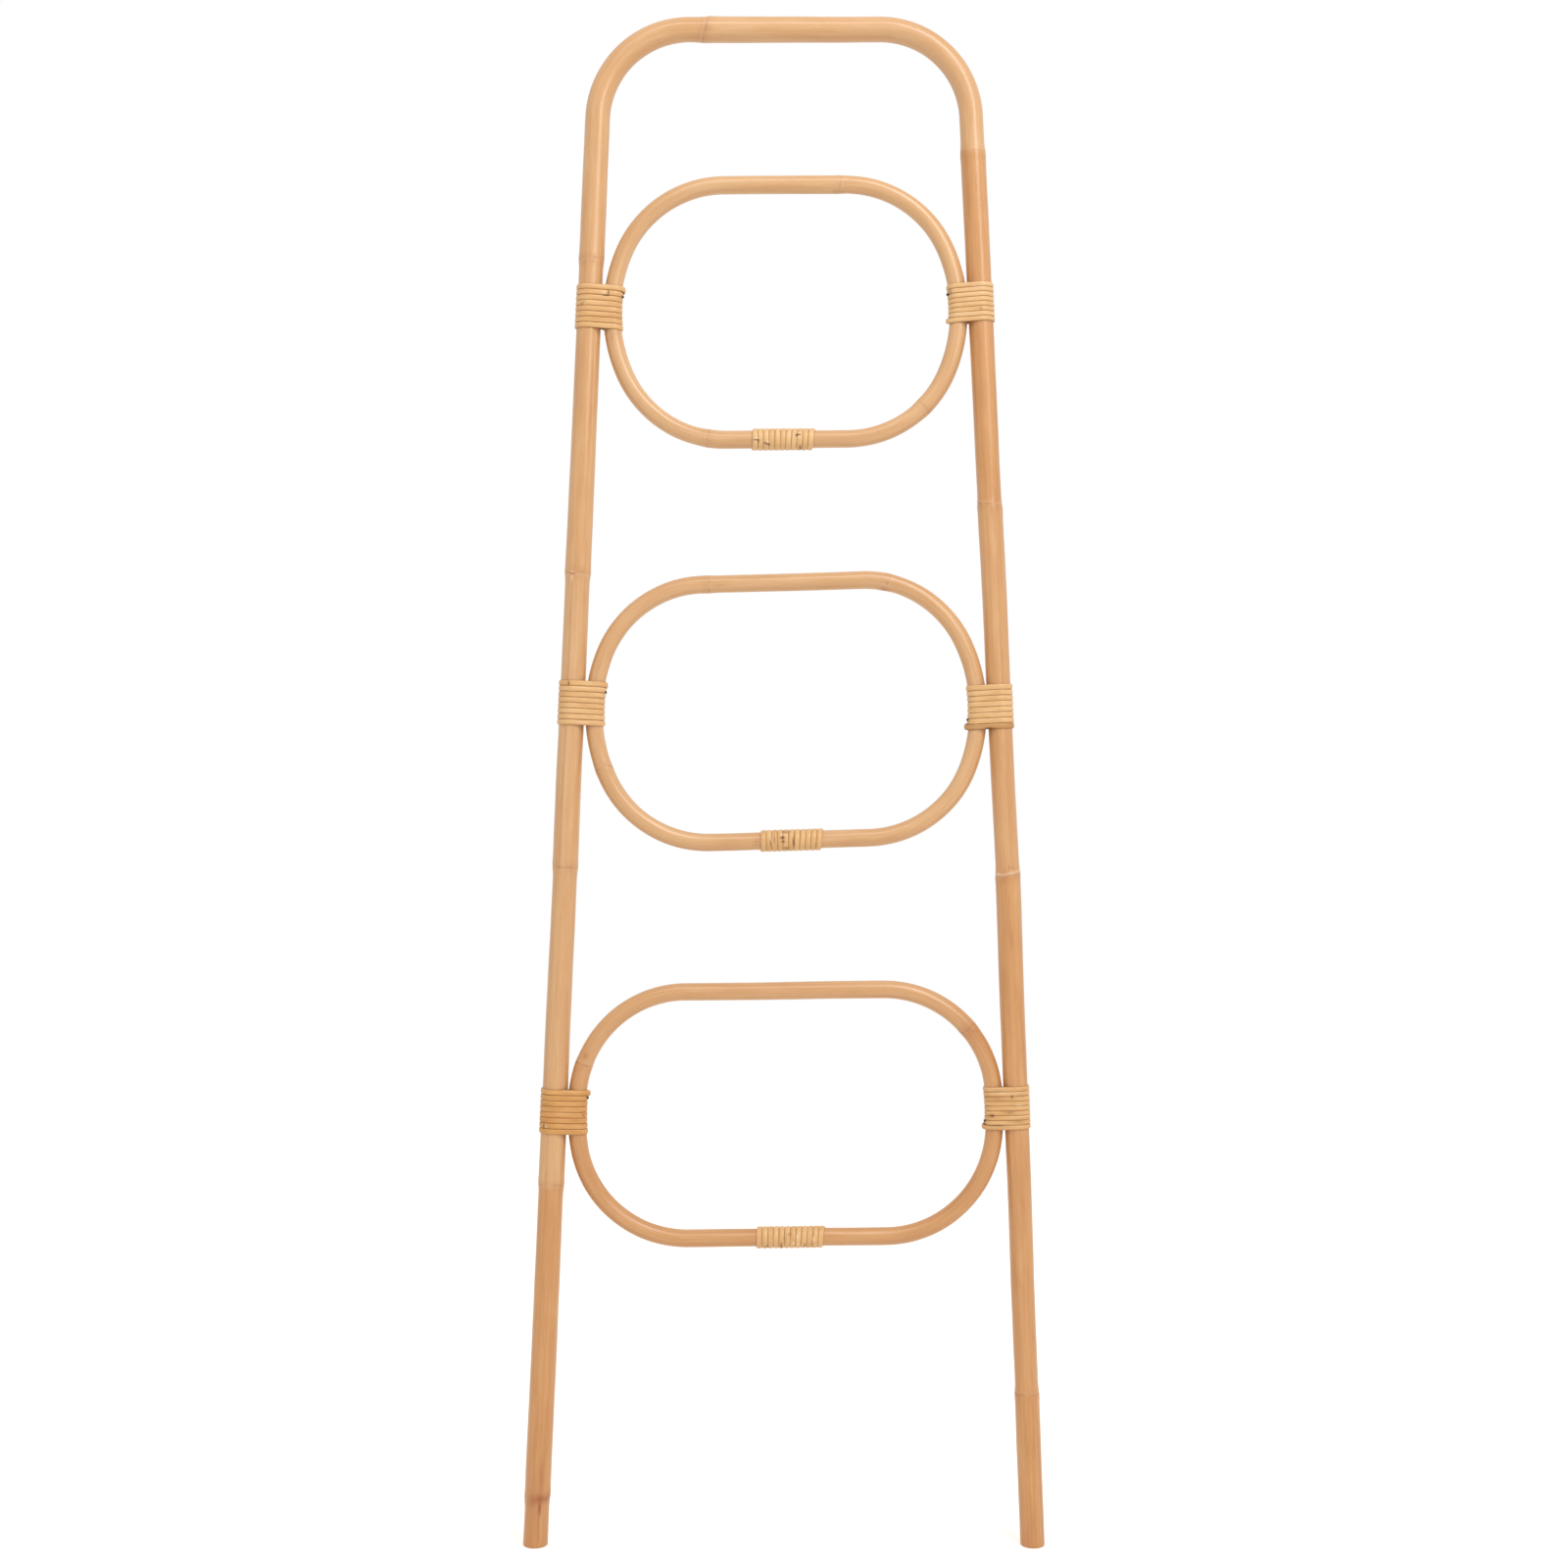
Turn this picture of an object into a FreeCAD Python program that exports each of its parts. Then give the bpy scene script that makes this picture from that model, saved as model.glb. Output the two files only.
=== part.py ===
"""Leaning towel ladder of bent rattan.

One thick cane is bent into an upside-down U whose legs splay. The right leg has a slight kink at one of
its nodes. Three thinner canes are bent into closed hoops between the legs, their ends joined by a scarf at
the bottom. Strips of cane peel are wound round each crossing of hoop and leg and round each scarf.

Millimetres. The floor is z = 0, +X is to the right seen from the front, +Y points to the wall behind.
"""
import FreeCAD, Part
import math
import os

V = FreeCAD.Vector

# Pole: one cane from the left foot, over the top, to the right foot
overall_height = 1700.0
foot_spacing = 553.0
left_leg_splay_deg = 2.5
right_leg_splay_deg = 2.14
pole_bend_radius = 102.0
pole_butt_diameter = 29.0
pole_tip_diameter = 27.4
pole_internode_drop = 1.8
pole_node_bulge = 0.5
pole_node_length = 15.0
foot_chamfer = 1.0

# Kink of the right leg at one of its nodes: a share of the overall height, how much more the leg leans
# above it, and the radius of the gentle bend
right_kink_share = 0.439
right_kink_deg = 0.6
kink_radius = 3000.0

# Places of the pole's nodes: shares of the overall height on the legs, of half the bar on the bar
left_leg_node_shares = (0.031, 0.236, 0.443, 0.635, 0.840)
bar_node_shares = (-0.43,)
right_leg_node_shares = (0.911, 0.680, right_kink_share, 0.100)

# Hoops: gap over the hoop, to the ladder's top or the hoop above, outer height, bend of the two sides,
# shoulder, the height of the upper corners' centres over the hoop's centre, how far the scarf lies to the
# right of the middle, and how far the left and right bindings lie above the place where the hoop is nearest
hoop_diameter = 20.0
hoop_internode_drop = 0.7
hoop_node_bulge = 0.3
hoop_node_length = 13.0
hoop_seat_clearance = 0.3

upper_hoop_gap = 177.5
upper_hoop_height = 303.0
upper_hoop_side_radius = 172.0
upper_hoop_shoulder = 20.5
upper_hoop_tilt_deg = 0.3
upper_scarf_shift = -3.3
upper_binding_shifts = (-2.0, 3.5)

middle_hoop_gap = 139.0
middle_hoop_height = 307.0
middle_hoop_side_radius = 180.0
middle_hoop_shoulder = 22.5
middle_hoop_tilt_deg = 1.7
middle_scarf_shift = 1.7
middle_binding_shifts = (1.5, -5.5)

lower_hoop_gap = 147.5
lower_hoop_height = 294.0
lower_hoop_side_radius = 230.0
lower_hoop_shoulder = 16.0
lower_hoop_tilt_deg = 0.7
lower_scarf_shift = 3.1
lower_binding_shifts = (-9.0, -4.0)

# Places of the hoops' nodes: shares of the way round, from the scarf to the right
upper_hoop_node_shares = (0.147, 0.448, 0.924)
middle_hoop_node_shares = (0.401, 0.565, 0.796)
lower_hoop_node_shares = (0.325, 0.70)

# Scarf that closes a hoop
scarf_length = 56.0
scarf_gap = 0.3

# Peel: half-round strip wound side by side
peel_width = 5.4
peel_thickness = 1.8
peel_turn_gap = 0.8
peel_clearance = 0.2
side_turns = 8
lower_right_turns = 9
splice_turns = 11
lower_splice_turns = 12

# Countersunk screw from the inside of a hoop into the leg
screw_diameter = 4.0
screw_head_diameter = 7.6
screw_length = 37.0
screw_tip_length = 5.0
screw_sink = 1.0

# Headless nails through a scarf, driven from below
nail_diameter = 1.8
nail_length = 15.0
nail_tip_length = 2.5
nail_sink = 1.2
nail_spacing = 22.0

# Tack that holds the end of a peel
tack_diameter = 1.3
tack_length = 11.0
tack_tip_length = 2.0
tack_head_diameter = 3.4
tack_head_thickness = 0.7
tack_seat_gap = 0.05

# Room round fasteners, and how far cutting shapes reach past what they cut
fastener_clearance = 0.1
cut_overrun = 12.0

FRONT = V(0, -1, 0)
UP = V(0, 0, 1)
LEFT, RIGHT = -1, 1
SIDE_NAMES = {LEFT: "left", RIGHT: "right"}
SMALL_ANGLE = 1e-7
GAP_SAMPLES_PER_TURN = 48

peel_pitch = peel_width + peel_turn_gap


def unit(vector):
    return vector * (1 / vector.Length)


def turned(origin, axis, outline):
    """Solid of revolution through (distance along the axis, radius) points."""
    across = unit(axis.cross(FRONT if abs(axis.y) < 0.5 else UP))
    rim = [origin + axis * along + across * radius for along, radius in outline]
    first = origin + axis * outline[0][0]
    last = origin + axis * outline[-1][0]
    corners = [first]
    for point in rim + [last, first]:
        if (point - corners[-1]).Length > 0:
            corners.append(point)
    return Part.Face(Part.makePolygon(corners)).revolve(origin, axis, 360)


def circle_wire(point, direction, radius):
    return Part.Wire([Part.makeCircle(radius, point, direction)])


class Cane:
    """A cane in the XZ plane: straight runs (length) and bends (radius, turn to the left in radians)."""

    def __init__(self, start, heading, moves, butt, tip, drop, bulge, node_length):
        self.butt = butt
        self.tip = tip
        self.drop = drop
        self.bulge = bulge
        self.node_length = node_length
        self.nodes = []
        self.runs = []
        travelled = 0
        point = start
        angle = heading
        for move in moves:
            run = {"from": travelled, "point": point, "angle": angle, "turn": 0}
            if len(move) == 1:
                run["length"] = move[0]
            else:
                run["radius"], run["turn"] = move
                run["length"] = run["radius"] * abs(run["turn"])
            self.runs.append(run)
            travelled += run["length"]
            point = self.at(travelled)[0]
            angle += run["turn"]
        self.length = travelled

    def run_at(self, distance):
        return [run for run in self.runs if run["from"] <= max(distance, 0)][-1]

    def at(self, distance):
        """Point and direction of the cane's axis at a distance from its butt."""
        run = self.run_at(distance)
        rest = distance - run["from"]
        heading = V(math.cos(run["angle"]), 0, math.sin(run["angle"]))
        if not run["turn"]:
            return run["point"] + heading * rest, heading
        sign = math.copysign(1, run["turn"])
        leftward = V(-heading.z, 0, heading.x)
        swept = rest / run["radius"]
        ahead = heading * math.sin(swept) + leftward * (sign * (1 - math.cos(swept)))
        direction = heading * math.cos(swept) + leftward * (sign * math.sin(swept))
        return run["point"] + ahead * run["radius"], direction

    def internode(self, distance):
        """Start and end of the internode that holds a distance, also where the cane's end cuts it short."""
        first = self.nodes[0] - (self.nodes[1] - self.nodes[0])
        last = self.nodes[-1] + (self.nodes[-1] - self.nodes[-2])
        marks = [min(first, -cut_overrun)] + self.nodes + [max(last, self.length + cut_overrun)]
        for start, end in zip(marks, marks[1:]):
            if distance < end:
                break
        return start, end

    def radius(self, distance, within=None):
        """Each internode starts thick and thins by the drop up to the next node."""
        start, end = self.internode(distance if within is None else within)
        thick = self.butt + (self.tip - self.butt) * max(start, 0) / self.length
        return (thick - self.drop * (distance - start) / (end - start)) / 2

    def crest(self, node):
        """Radius at the top of a node's swelling."""
        half = self.node_length / 2
        return max(self.radius(node, node - half), self.radius(node, node + half)) + self.bulge

    def widest(self, start, end):
        """Largest radius between two distances, swellings that reach in between included."""
        half = self.node_length / 2
        crests = [self.crest(node) for node in self.nodes if start - half < node < end + half]
        return max([self.radius(start), self.radius(end)] + crests)

    def stretch(self, start, end):
        """Solid between two distances inside one run and one internode."""
        middle = (start + end) / 2
        r0 = self.radius(start, middle)
        r1 = self.radius(end, middle)
        p0, d0 = self.at(start)
        if not self.run_at(middle)["turn"]:
            return turned(p0, d0, [(0, r0), (end - start, r1)])
        pm = self.at(middle)[0]
        p1, d1 = self.at(end)
        spine = Part.Wire([Part.Arc(p0, pm, p1).toShape()])
        return spine.makePipeShell([circle_wire(p0, d0, r0), circle_wire(p1, d1, r1)], True)

    def ring(self, node):
        """Swelling of a node, its edges sunk by the height of the bulge."""
        point, direction = self.at(node)
        half = self.node_length / 2
        before = self.radius(node, node - half)
        after = self.radius(node, node + half)
        crest = self.crest(node)
        outline = [(-half, before - self.bulge), (-half / 3, (before + crest) / 2), (0, crest)]
        outline += [(half / 3, (after + crest) / 2), (half, after - self.bulge)]
        return turned(point, direction, outline)

    def solid(self, extra=0):
        """The whole cane, reaching past both ends by the extra."""
        marks = [run["from"] for run in self.runs[1:]] + self.nodes
        marks = [-extra] + sorted(marks) + [self.length + extra]
        pieces = [self.stretch(start, end) for start, end in zip(marks, marks[1:])]
        pieces += [self.ring(node) for node in self.nodes]
        return pieces[0].multiFuse(pieces[1:])


# Legs
half_foot = foot_spacing / 2
bar_level = overall_height - (pole_butt_diameter + pole_tip_diameter) / 4 - pole_node_bulge
kink_level = right_kink_share * overall_height


class Leg:
    """A straight stretch of a leg: the foot it points to, the way up it and the way from it to the hoops."""

    def __init__(self, side, splay, foot_offset):
        self.side = side
        self.splay = splay
        self.foot_offset = foot_offset
        self.foot = V(side * foot_offset, 0, 0)
        self.up = V(-side * math.sin(splay), 0, math.cos(splay))
        self.inward = V(-side * math.cos(splay), 0, -math.sin(splay))
        self.foot_distance = 0

    def offset(self, level):
        """Distance of the leg's axis from the middle of the ladder at a level."""
        return self.foot_offset - level * math.tan(self.splay)

    def height(self, level):
        """Height up the leg of a level."""
        return level / math.cos(self.splay)

    def pole_distance(self, height):
        """Distance along the pole of a height up the leg."""
        return self.foot_distance - self.side * height

    def widest(self, height, half_length):
        """Largest radius of the leg within a length round a height."""
        distance = self.pole_distance(height)
        return pole.widest(distance - half_length, distance + half_length)

    def at(self, height, inward=0, front=0):
        return self.foot + self.up * height + self.inward * inward + FRONT * front

    def seen(self, point):
        """Height up the leg and distance from its axis of a point in the ladder's plane."""
        return (point - self.foot).dot(self.up), (point - self.foot).dot(self.inward)


def leg_above_kink(leg, kink):
    """The same leg above its kink, where it leans more."""
    splay = leg.splay + kink
    return Leg(leg.side, splay, leg.offset(kink_level) + kink_level * math.tan(splay))


right_kink = math.radians(right_kink_deg)
left_leg = Leg(LEFT, math.radians(left_leg_splay_deg), half_foot)
right_leg = Leg(RIGHT, math.radians(right_leg_splay_deg), half_foot)
upper_right_leg = leg_above_kink(right_leg, right_kink)


# Pole
class Corner:
    """Bend between a leg and the bar."""

    def __init__(self, leg):
        self.turn = math.pi / 2 - leg.splay
        self.reach = pole_bend_radius * math.tan(self.turn / 2)
        self.offset = leg.offset(bar_level)
        self.move = (pole_bend_radius, -self.turn)


left_corner = Corner(left_leg)
right_corner = Corner(upper_right_leg)


def make_pole_cane():
    kink_reach = kink_radius * math.tan(right_kink / 2)
    left_run = left_leg.height(bar_level) - left_corner.reach
    bar_run = left_corner.offset - left_corner.reach + right_corner.offset - right_corner.reach
    upper_run = upper_right_leg.height(bar_level - kink_level) - right_corner.reach - kink_reach
    lower_run = right_leg.height(kink_level) - kink_reach
    moves = [(left_run,), left_corner.move, (bar_run,), right_corner.move]
    moves += [(upper_run,), (kink_radius, -right_kink), (lower_run,)]
    cane = Cane(left_leg.foot, left_corner.turn, moves, pole_butt_diameter, pole_tip_diameter,
                pole_internode_drop, pole_node_bulge, pole_node_length)
    right_leg.foot_distance = cane.length
    above_kink = upper_right_leg.height(kink_level) - right_leg.height(kink_level)
    upper_right_leg.foot_distance = cane.length + above_kink
    bar_middle = left_run + pole_bend_radius * left_corner.turn + left_corner.offset - left_corner.reach
    for share in left_leg_node_shares:
        cane.nodes.append(left_leg.pole_distance(left_leg.height(share * overall_height)))
    for share in bar_node_shares:
        cane.nodes.append(bar_middle + share * left_corner.offset)
    for share in right_leg_node_shares:
        leg = upper_right_leg if share > right_kink_share else right_leg
        cane.nodes.append(leg.pole_distance(leg.height(share * overall_height)))
    return cane


pole = make_pole_cane()
hoop_radius = hoop_diameter / 2


class Hoop:
    """A closed hoop whose two sides lie against the legs."""

    def __init__(self, name, leg_on_right, top, height, side_radius, shoulder, tilt_deg, scarf_shift,
                 binding_shifts, node_shares, turns, scarf_turns):
        self.name = name
        self.legs = {LEFT: left_leg, RIGHT: leg_on_right}
        self.binding_shifts = dict(zip(self.legs, binding_shifts))
        self.turns = turns
        self.scarf_turns = scarf_turns
        self.side_radius = side_radius
        self.tilt = math.radians(tilt_deg)
        self.half_height = height / 2 - hoop_radius
        self.corner_radius = self.half_height - shoulder
        level = top - height / 2
        reach = {}
        for side, leg in self.legs.items():
            leg_radius = leg.widest(leg.height(level), turns[side] * peel_pitch)
            seat = side_radius + hoop_radius + hoop_seat_clearance + leg_radius
            reach[side] = leg.offset(level) - seat / math.cos(leg.splay)
        self.centre = V((reach[RIGHT] - reach[LEFT]) / 2, 0, level)
        self.side_offset = (reach[RIGHT] + reach[LEFT]) / 2
        spare = side_radius - self.corner_radius
        self.side_half_turn = math.asin(shoulder / spare)
        self.half_run = self.side_offset + spare * math.cos(self.side_half_turn)
        self.right = V(math.cos(self.tilt), 0, math.sin(self.tilt))
        self.upward = V(-math.sin(self.tilt), 0, math.cos(self.tilt))
        self.scarf = self.centre - self.upward * self.half_height + self.right * scarf_shift
        corner = (self.corner_radius, math.pi / 2 - self.side_half_turn)
        end = [corner, (side_radius, 2 * self.side_half_turn), corner]
        moves = [(self.half_run - scarf_shift,)] + end + [(2 * self.half_run,)] + end
        moves.append((self.half_run + scarf_shift,))
        self.cane = Cane(self.scarf, self.tilt, moves, hoop_diameter, hoop_diameter,
                         hoop_internode_drop, hoop_node_bulge, hoop_node_length)
        self.cane.nodes = [share * self.cane.length for share in node_shares]

    def widest(self, side):
        """Largest radius of the hoop's cane under a side binding."""
        half_length = self.turns[side] * peel_pitch
        quarter = self.cane.length / 4
        middle = quarter if side == RIGHT else self.cane.length - quarter
        return self.cane.widest(middle - half_length, middle + half_length)

    def seat(self, side):
        """Height up the leg where the hoop lies nearest, and the distance of the side bend's centre."""
        bend_centre = self.centre + self.right * (side * self.side_offset)
        return self.legs[side].seen(bend_centre)

    def distance(self, side, height):
        """Distance from the leg's axis to the hoop's axis at a height up the leg."""
        seat_height, seat_distance = self.seat(side)
        rise = height - seat_height
        lean = side * self.tilt - self.legs[side].splay
        for turn in (lean - self.side_half_turn, lean + self.side_half_turn):
            past = rise - self.side_radius * math.sin(turn)
            if past * (turn - lean) > 0:
                spare = self.side_radius - self.corner_radius
                corner_rise = spare * math.sin(turn)
                corner_distance = seat_distance - spare * math.cos(turn)
                return corner_distance - math.sqrt(self.corner_radius ** 2 - (rise - corner_rise) ** 2)
        return seat_distance - math.sqrt(self.side_radius ** 2 - rise ** 2)


side_turn_counts = {LEFT: side_turns, RIGHT: side_turns}
lower_turn_counts = {LEFT: side_turns, RIGHT: lower_right_turns}
upper_top = overall_height - upper_hoop_gap
middle_top = upper_top - upper_hoop_height - middle_hoop_gap
lower_top = middle_top - middle_hoop_height - lower_hoop_gap
hoops = [
    Hoop("upper", upper_right_leg, upper_top, upper_hoop_height, upper_hoop_side_radius,
         upper_hoop_shoulder, upper_hoop_tilt_deg, upper_scarf_shift, upper_binding_shifts,
         upper_hoop_node_shares, side_turn_counts, splice_turns),
    Hoop("middle", upper_right_leg, middle_top, middle_hoop_height, middle_hoop_side_radius,
         middle_hoop_shoulder, middle_hoop_tilt_deg, middle_scarf_shift, middle_binding_shifts,
         middle_hoop_node_shares, side_turn_counts, splice_turns),
    Hoop("lower", right_leg, lower_top, lower_hoop_height, lower_hoop_side_radius,
         lower_hoop_shoulder, lower_hoop_tilt_deg, lower_scarf_shift, lower_binding_shifts,
         lower_hoop_node_shares, lower_turn_counts, lower_splice_turns),
]


# Windings
def arc(start, tangent, end):
    """Arc, or line, that leaves a point along a tangent and ends at another point."""
    chord = end - start
    along = unit(chord)
    sideways = tangent - along * tangent.dot(along)
    if sideways.Length < SMALL_ANGLE:
        return Part.makeLine(start, end)
    angle = math.atan2(sideways.Length, tangent.dot(along))
    rise = chord.Length / 2 * math.tan(angle / 2)
    return Part.Arc(start, (start + end) * 0.5 + unit(sideways) * rise, end).toShape()


def biarc(start, start_tangent, end, end_tangent):
    """Two arcs that join two points with the given tangents."""
    chord = end - start
    spread = 2 * (1 - start_tangent.dot(end_tangent))
    forward = chord.dot(start_tangent + end_tangent)
    reach = (math.sqrt(forward ** 2 + spread * chord.dot(chord)) - forward) / spread
    middle = (start + end + (start_tangent - end_tangent) * reach) * 0.5
    return [arc(start, start_tangent, middle), arc(end, end_tangent * -1, middle)]


def peel_section(point, outward, across):
    """Half-round section, flat side to the cane, its middle on the point."""
    flat = point - outward * (peel_thickness / 2)
    low = flat - across * (peel_width / 2)
    high = flat + across * (peel_width / 2)
    crown = point + outward * (peel_thickness / 2)
    return Part.Wire([Part.makeLine(low, high), Part.Arc(high, crown, low).toShape()])


def report_gap(name, spine, turns):
    """Least gap between neighbouring turns, measured on points of the spine."""
    points = spine.discretize(Number=int(GAP_SAMPLES_PER_TURN * turns))
    apart = GAP_SAMPLES_PER_TURN // 2
    least = min((points[j] - points[i]).Length
                for i in range(len(points)) for j in range(i + apart, len(points)))
    print(f"{name}: {turns} turns, least gap to itself {least - peel_width:.2f} mm")


def side_turn(hoop, leg, turn):
    """Points where one turn meets and leaves leg and hoop. Left windings go up, right ones down."""
    seat_height, _ = hoop.seat(leg.side)
    middle = seat_height + hoop.binding_shifts[leg.side]
    height = middle - leg.side * (turn + 0.5 - hoop.turns[leg.side] / 2) * peel_pitch
    rise = peel_clearance + peel_thickness / 2
    hoop_bend = hoop.widest(leg.side) + rise
    leg_bend = leg.widest(height, peel_pitch / 2) + rise
    apart = hoop.distance(leg.side, height)
    reach = (leg_bend - hoop_bend) / apart
    depth = math.sqrt(1 - reach ** 2)
    return {
        "outer": leg.at(height, -leg_bend),
        "leg_front": leg.at(height, leg_bend * reach, leg_bend * depth),
        "hoop_front": leg.at(height, apart + hoop_bend * reach, hoop_bend * depth),
        "inner": leg.at(height, apart + hoop_bend),
        "hoop_back": leg.at(height, apart + hoop_bend * reach, -hoop_bend * depth),
        "leg_back": leg.at(height, leg_bend * reach, -leg_bend * depth),
    }


def side_binding(hoop, leg):
    """Peel round a leg and a hoop: level in front, going on one pitch on the straight stretch behind."""
    turns = hoop.turns[leg.side]
    stops = [side_turn(hoop, leg, turn) for turn in range(turns)]
    first = stops[0]["outer"]
    last = stops[-1]["inner"]
    start = first - FRONT * peel_width
    finish = last - FRONT * peel_width
    edges = [Part.makeLine(start, first)]
    for here, following in zip(stops, stops[1:] + [None]):
        across_front = unit(here["hoop_front"] - here["leg_front"])
        edges += biarc(here["outer"], FRONT, here["leg_front"], across_front)
        edges.append(Part.makeLine(here["leg_front"], here["hoop_front"]))
        edges += biarc(here["hoop_front"], across_front, here["inner"], FRONT * -1)
        if following:
            across_back = unit(following["leg_back"] - here["hoop_back"])
            edges += biarc(here["inner"], FRONT * -1, here["hoop_back"], across_back)
            edges.append(Part.makeLine(here["hoop_back"], following["leg_back"]))
            edges += biarc(following["leg_back"], across_back, following["outer"], FRONT)
    edges.append(Part.makeLine(last, finish))
    spine = Part.Wire(edges)
    name = f"{hoop.name}_{SIDE_NAMES[leg.side]}_binding"
    report_gap(name, spine, turns)
    section = peel_section(start, leg.inward * -1, leg.up)
    leg_tack = peel_tack((start + first) * 0.5, leg.inward)
    inner_tack = peel_tack((finish + last) * 0.5, leg.inward * -1)
    return name, spine.makePipeShell([section], True), (leg_tack, inner_tack)


def splice_binding(hoop):
    """Peel round the scarf of a hoop: an even helix of round cord, planed flat where it lies on the cane."""
    turns = hoop.scarf_turns
    cord = peel_width / 2
    seat = hoop_radius + peel_clearance
    bend = seat + peel_thickness - cord
    slope = math.atan2(peel_pitch / 2, math.pi * bend)

    def station(index):
        angle = math.pi * index
        outward = FRONT * -math.cos(angle) - hoop.upward * math.sin(angle)
        round_way = FRONT * math.sin(angle) - hoop.upward * math.cos(angle)
        point = hoop.scarf + outward * bend + hoop.right * ((index - turns) * peel_pitch / 2)
        return point, round_way * math.cos(slope) + hoop.right * math.sin(slope)

    stops = [station(index) for index in range(2 * turns + 1)]
    first, first_way = stops[0]
    last, last_way = stops[-1]
    start = first - first_way * peel_width
    finish = last + last_way * peel_width
    edges = [Part.makeLine(start, first)]
    for (p0, t0), (p1, t1) in zip(stops, stops[1:]):
        edges += biarc(p0, t0, p1, t1)
    edges.append(Part.makeLine(last, finish))
    spine = Part.Wire(edges)
    name = f"{hoop.name}_splice_binding"
    report_gap(name, spine, turns)
    tube = spine.makePipeShell([circle_wire(start, first_way, cord)], True)
    half_length = (turns + 1) * peel_pitch / 2 + cut_overrun
    core = Part.makeCylinder(seat, 2 * half_length, hoop.scarf - hoop.right * half_length, hoop.right)
    to_crown = FRONT * (peel_thickness / 2 - cord)
    ends = [(start + first) * 0.5 + to_crown, (finish + last) * 0.5 + to_crown]
    return name, tube.cut(core), [peel_tack(end, FRONT) for end in ends]


# Fasteners: each has its origin, the way it is driven, its own outline and the outline of its hole
def peel_tack(point, into):
    """Tack through the middle of a peel's straight end."""
    seat = peel_thickness / 2 + tack_seat_gap
    head = tack_head_diameter / 2
    shank = tack_diameter / 2
    hole = shank + fastener_clearance
    body = [(-tack_head_thickness, head), (0, head), (0, shank)]
    body += [(tack_length - tack_tip_length, shank), (tack_length, 0)]
    room = [(0, hole), (tack_length + fastener_clearance, hole)]
    return point - into * seat, into, body, room


def hoop_screw(hoop, leg):
    """Screw through the side of a hoop into the leg, its head sunk under the winding."""
    height, _ = hoop.seat(leg.side)
    origin = leg.at(height, hoop.distance(leg.side, height) + hoop_radius - screw_sink)
    head = screw_head_diameter / 2
    shank = screw_diameter / 2
    body = [(0, head), (head - shank, shank), (screw_length - screw_tip_length, shank), (screw_length, 0)]
    head_hole = head + fastener_clearance
    shank_hole = shank + fastener_clearance
    room = [(-cut_overrun, head_hole), (0, head_hole), (head - shank, shank_hole)]
    room.append((screw_length + fastener_clearance, shank_hole))
    return origin, leg.inward * -1, body, room


def splice_nail(hoop, side):
    """Headless nail through both ends of a scarf, driven up from below."""
    origin = hoop.scarf + hoop.right * (side * nail_spacing / 2) - hoop.upward * (hoop_radius - nail_sink)
    shank = nail_diameter / 2
    hole = shank + fastener_clearance
    body = [(0, shank), (nail_length - nail_tip_length, shank), (nail_length, 0)]
    room = [(-cut_overrun, hole), (nail_length + fastener_clearance, hole)]
    return origin, hoop.upward, body, room


def solids_of(fasteners):
    return Part.makeCompound([turned(origin, into, body) for origin, into, body, _ in fasteners])


def drilled(shape, fasteners):
    """Shape with the holes of its fasteners."""
    return shape.cut([turned(origin, into, room) for origin, into, _, room in fasteners])


def scarf_cut(hoop):
    """Thin slanting slab that parts the two ends of a hoop."""
    drop = math.atan2(hoop_diameter, scarf_length)
    length = math.hypot(hoop_diameter, scarf_length) + cut_overrun
    depth = hoop_diameter + cut_overrun
    slab = Part.makeBox(length, depth, scarf_gap, V(-length / 2, -depth / 2, -scarf_gap / 2))
    slab.rotate(V(0, 0, 0), FRONT, math.degrees(hoop.tilt - drop))
    slab.translate(hoop.scarf)
    return slab


def level_feet(shape):
    """Legs sawn level with the floor, with their sharp edge broken."""
    width = foot_spacing + 2 * cut_overrun + pole_butt_diameter
    depth = pole_butt_diameter + cut_overrun
    waste = Part.makeBox(width, depth, 2 * cut_overrun, V(-width / 2, -depth / 2, -2 * cut_overrun))
    sawn = shape.cut(waste)
    rims = [edge for edge in sawn.Edges if edge.BoundBox.ZMax < foot_chamfer / 2]
    return sawn.makeChamfer(foot_chamfer, rims)


def write(name, shape):
    solids = shape.Solids
    shape = solids[0] if len(solids) == 1 else Part.makeCompound(solids)
    shape.exportStep(f"parts/{name}.step")
    box = shape.BoundBox
    size = f"{box.XLength:.1f} x {box.YLength:.1f} x {box.ZLength:.1f}"
    print(f"{name}: {len(solids)} solid(s), valid {shape.isValid()}, {size} mm, {shape.Volume:.0f} mm3")


def main():
    os.makedirs("parts", exist_ok=True)
    pole_fasteners = []
    for hoop in hoops:
        screws = []
        tacks = []
        hoop_tacks = []
        for leg in hoop.legs.values():
            name, strip, (leg_tack, inner_tack) = side_binding(hoop, leg)
            write(name, drilled(strip, [leg_tack, inner_tack]))
            screw = hoop_screw(hoop, leg)
            screws.append(screw)
            tacks += [leg_tack, inner_tack]
            hoop_tacks.append(inner_tack)
            pole_fasteners += [screw, leg_tack]
        name, strip, splice_tacks = splice_binding(hoop)
        write(name, drilled(strip, splice_tacks))
        nails = [splice_nail(hoop, side) for side in (LEFT, RIGHT)]
        ring = hoop.cane.solid().cut(scarf_cut(hoop))
        write(f"{hoop.name}_hoop", drilled(ring, screws + nails + hoop_tacks + splice_tacks))
        write(f"{hoop.name}_hoop_screws", solids_of(screws))
        write(f"{hoop.name}_splice_nails", solids_of(nails))
        write(f"{hoop.name}_binding_tacks", solids_of(tacks + splice_tacks))
    write("frame_pole", drilled(level_feet(pole.solid(cut_overrun)), pole_fasteners))


main()
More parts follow.
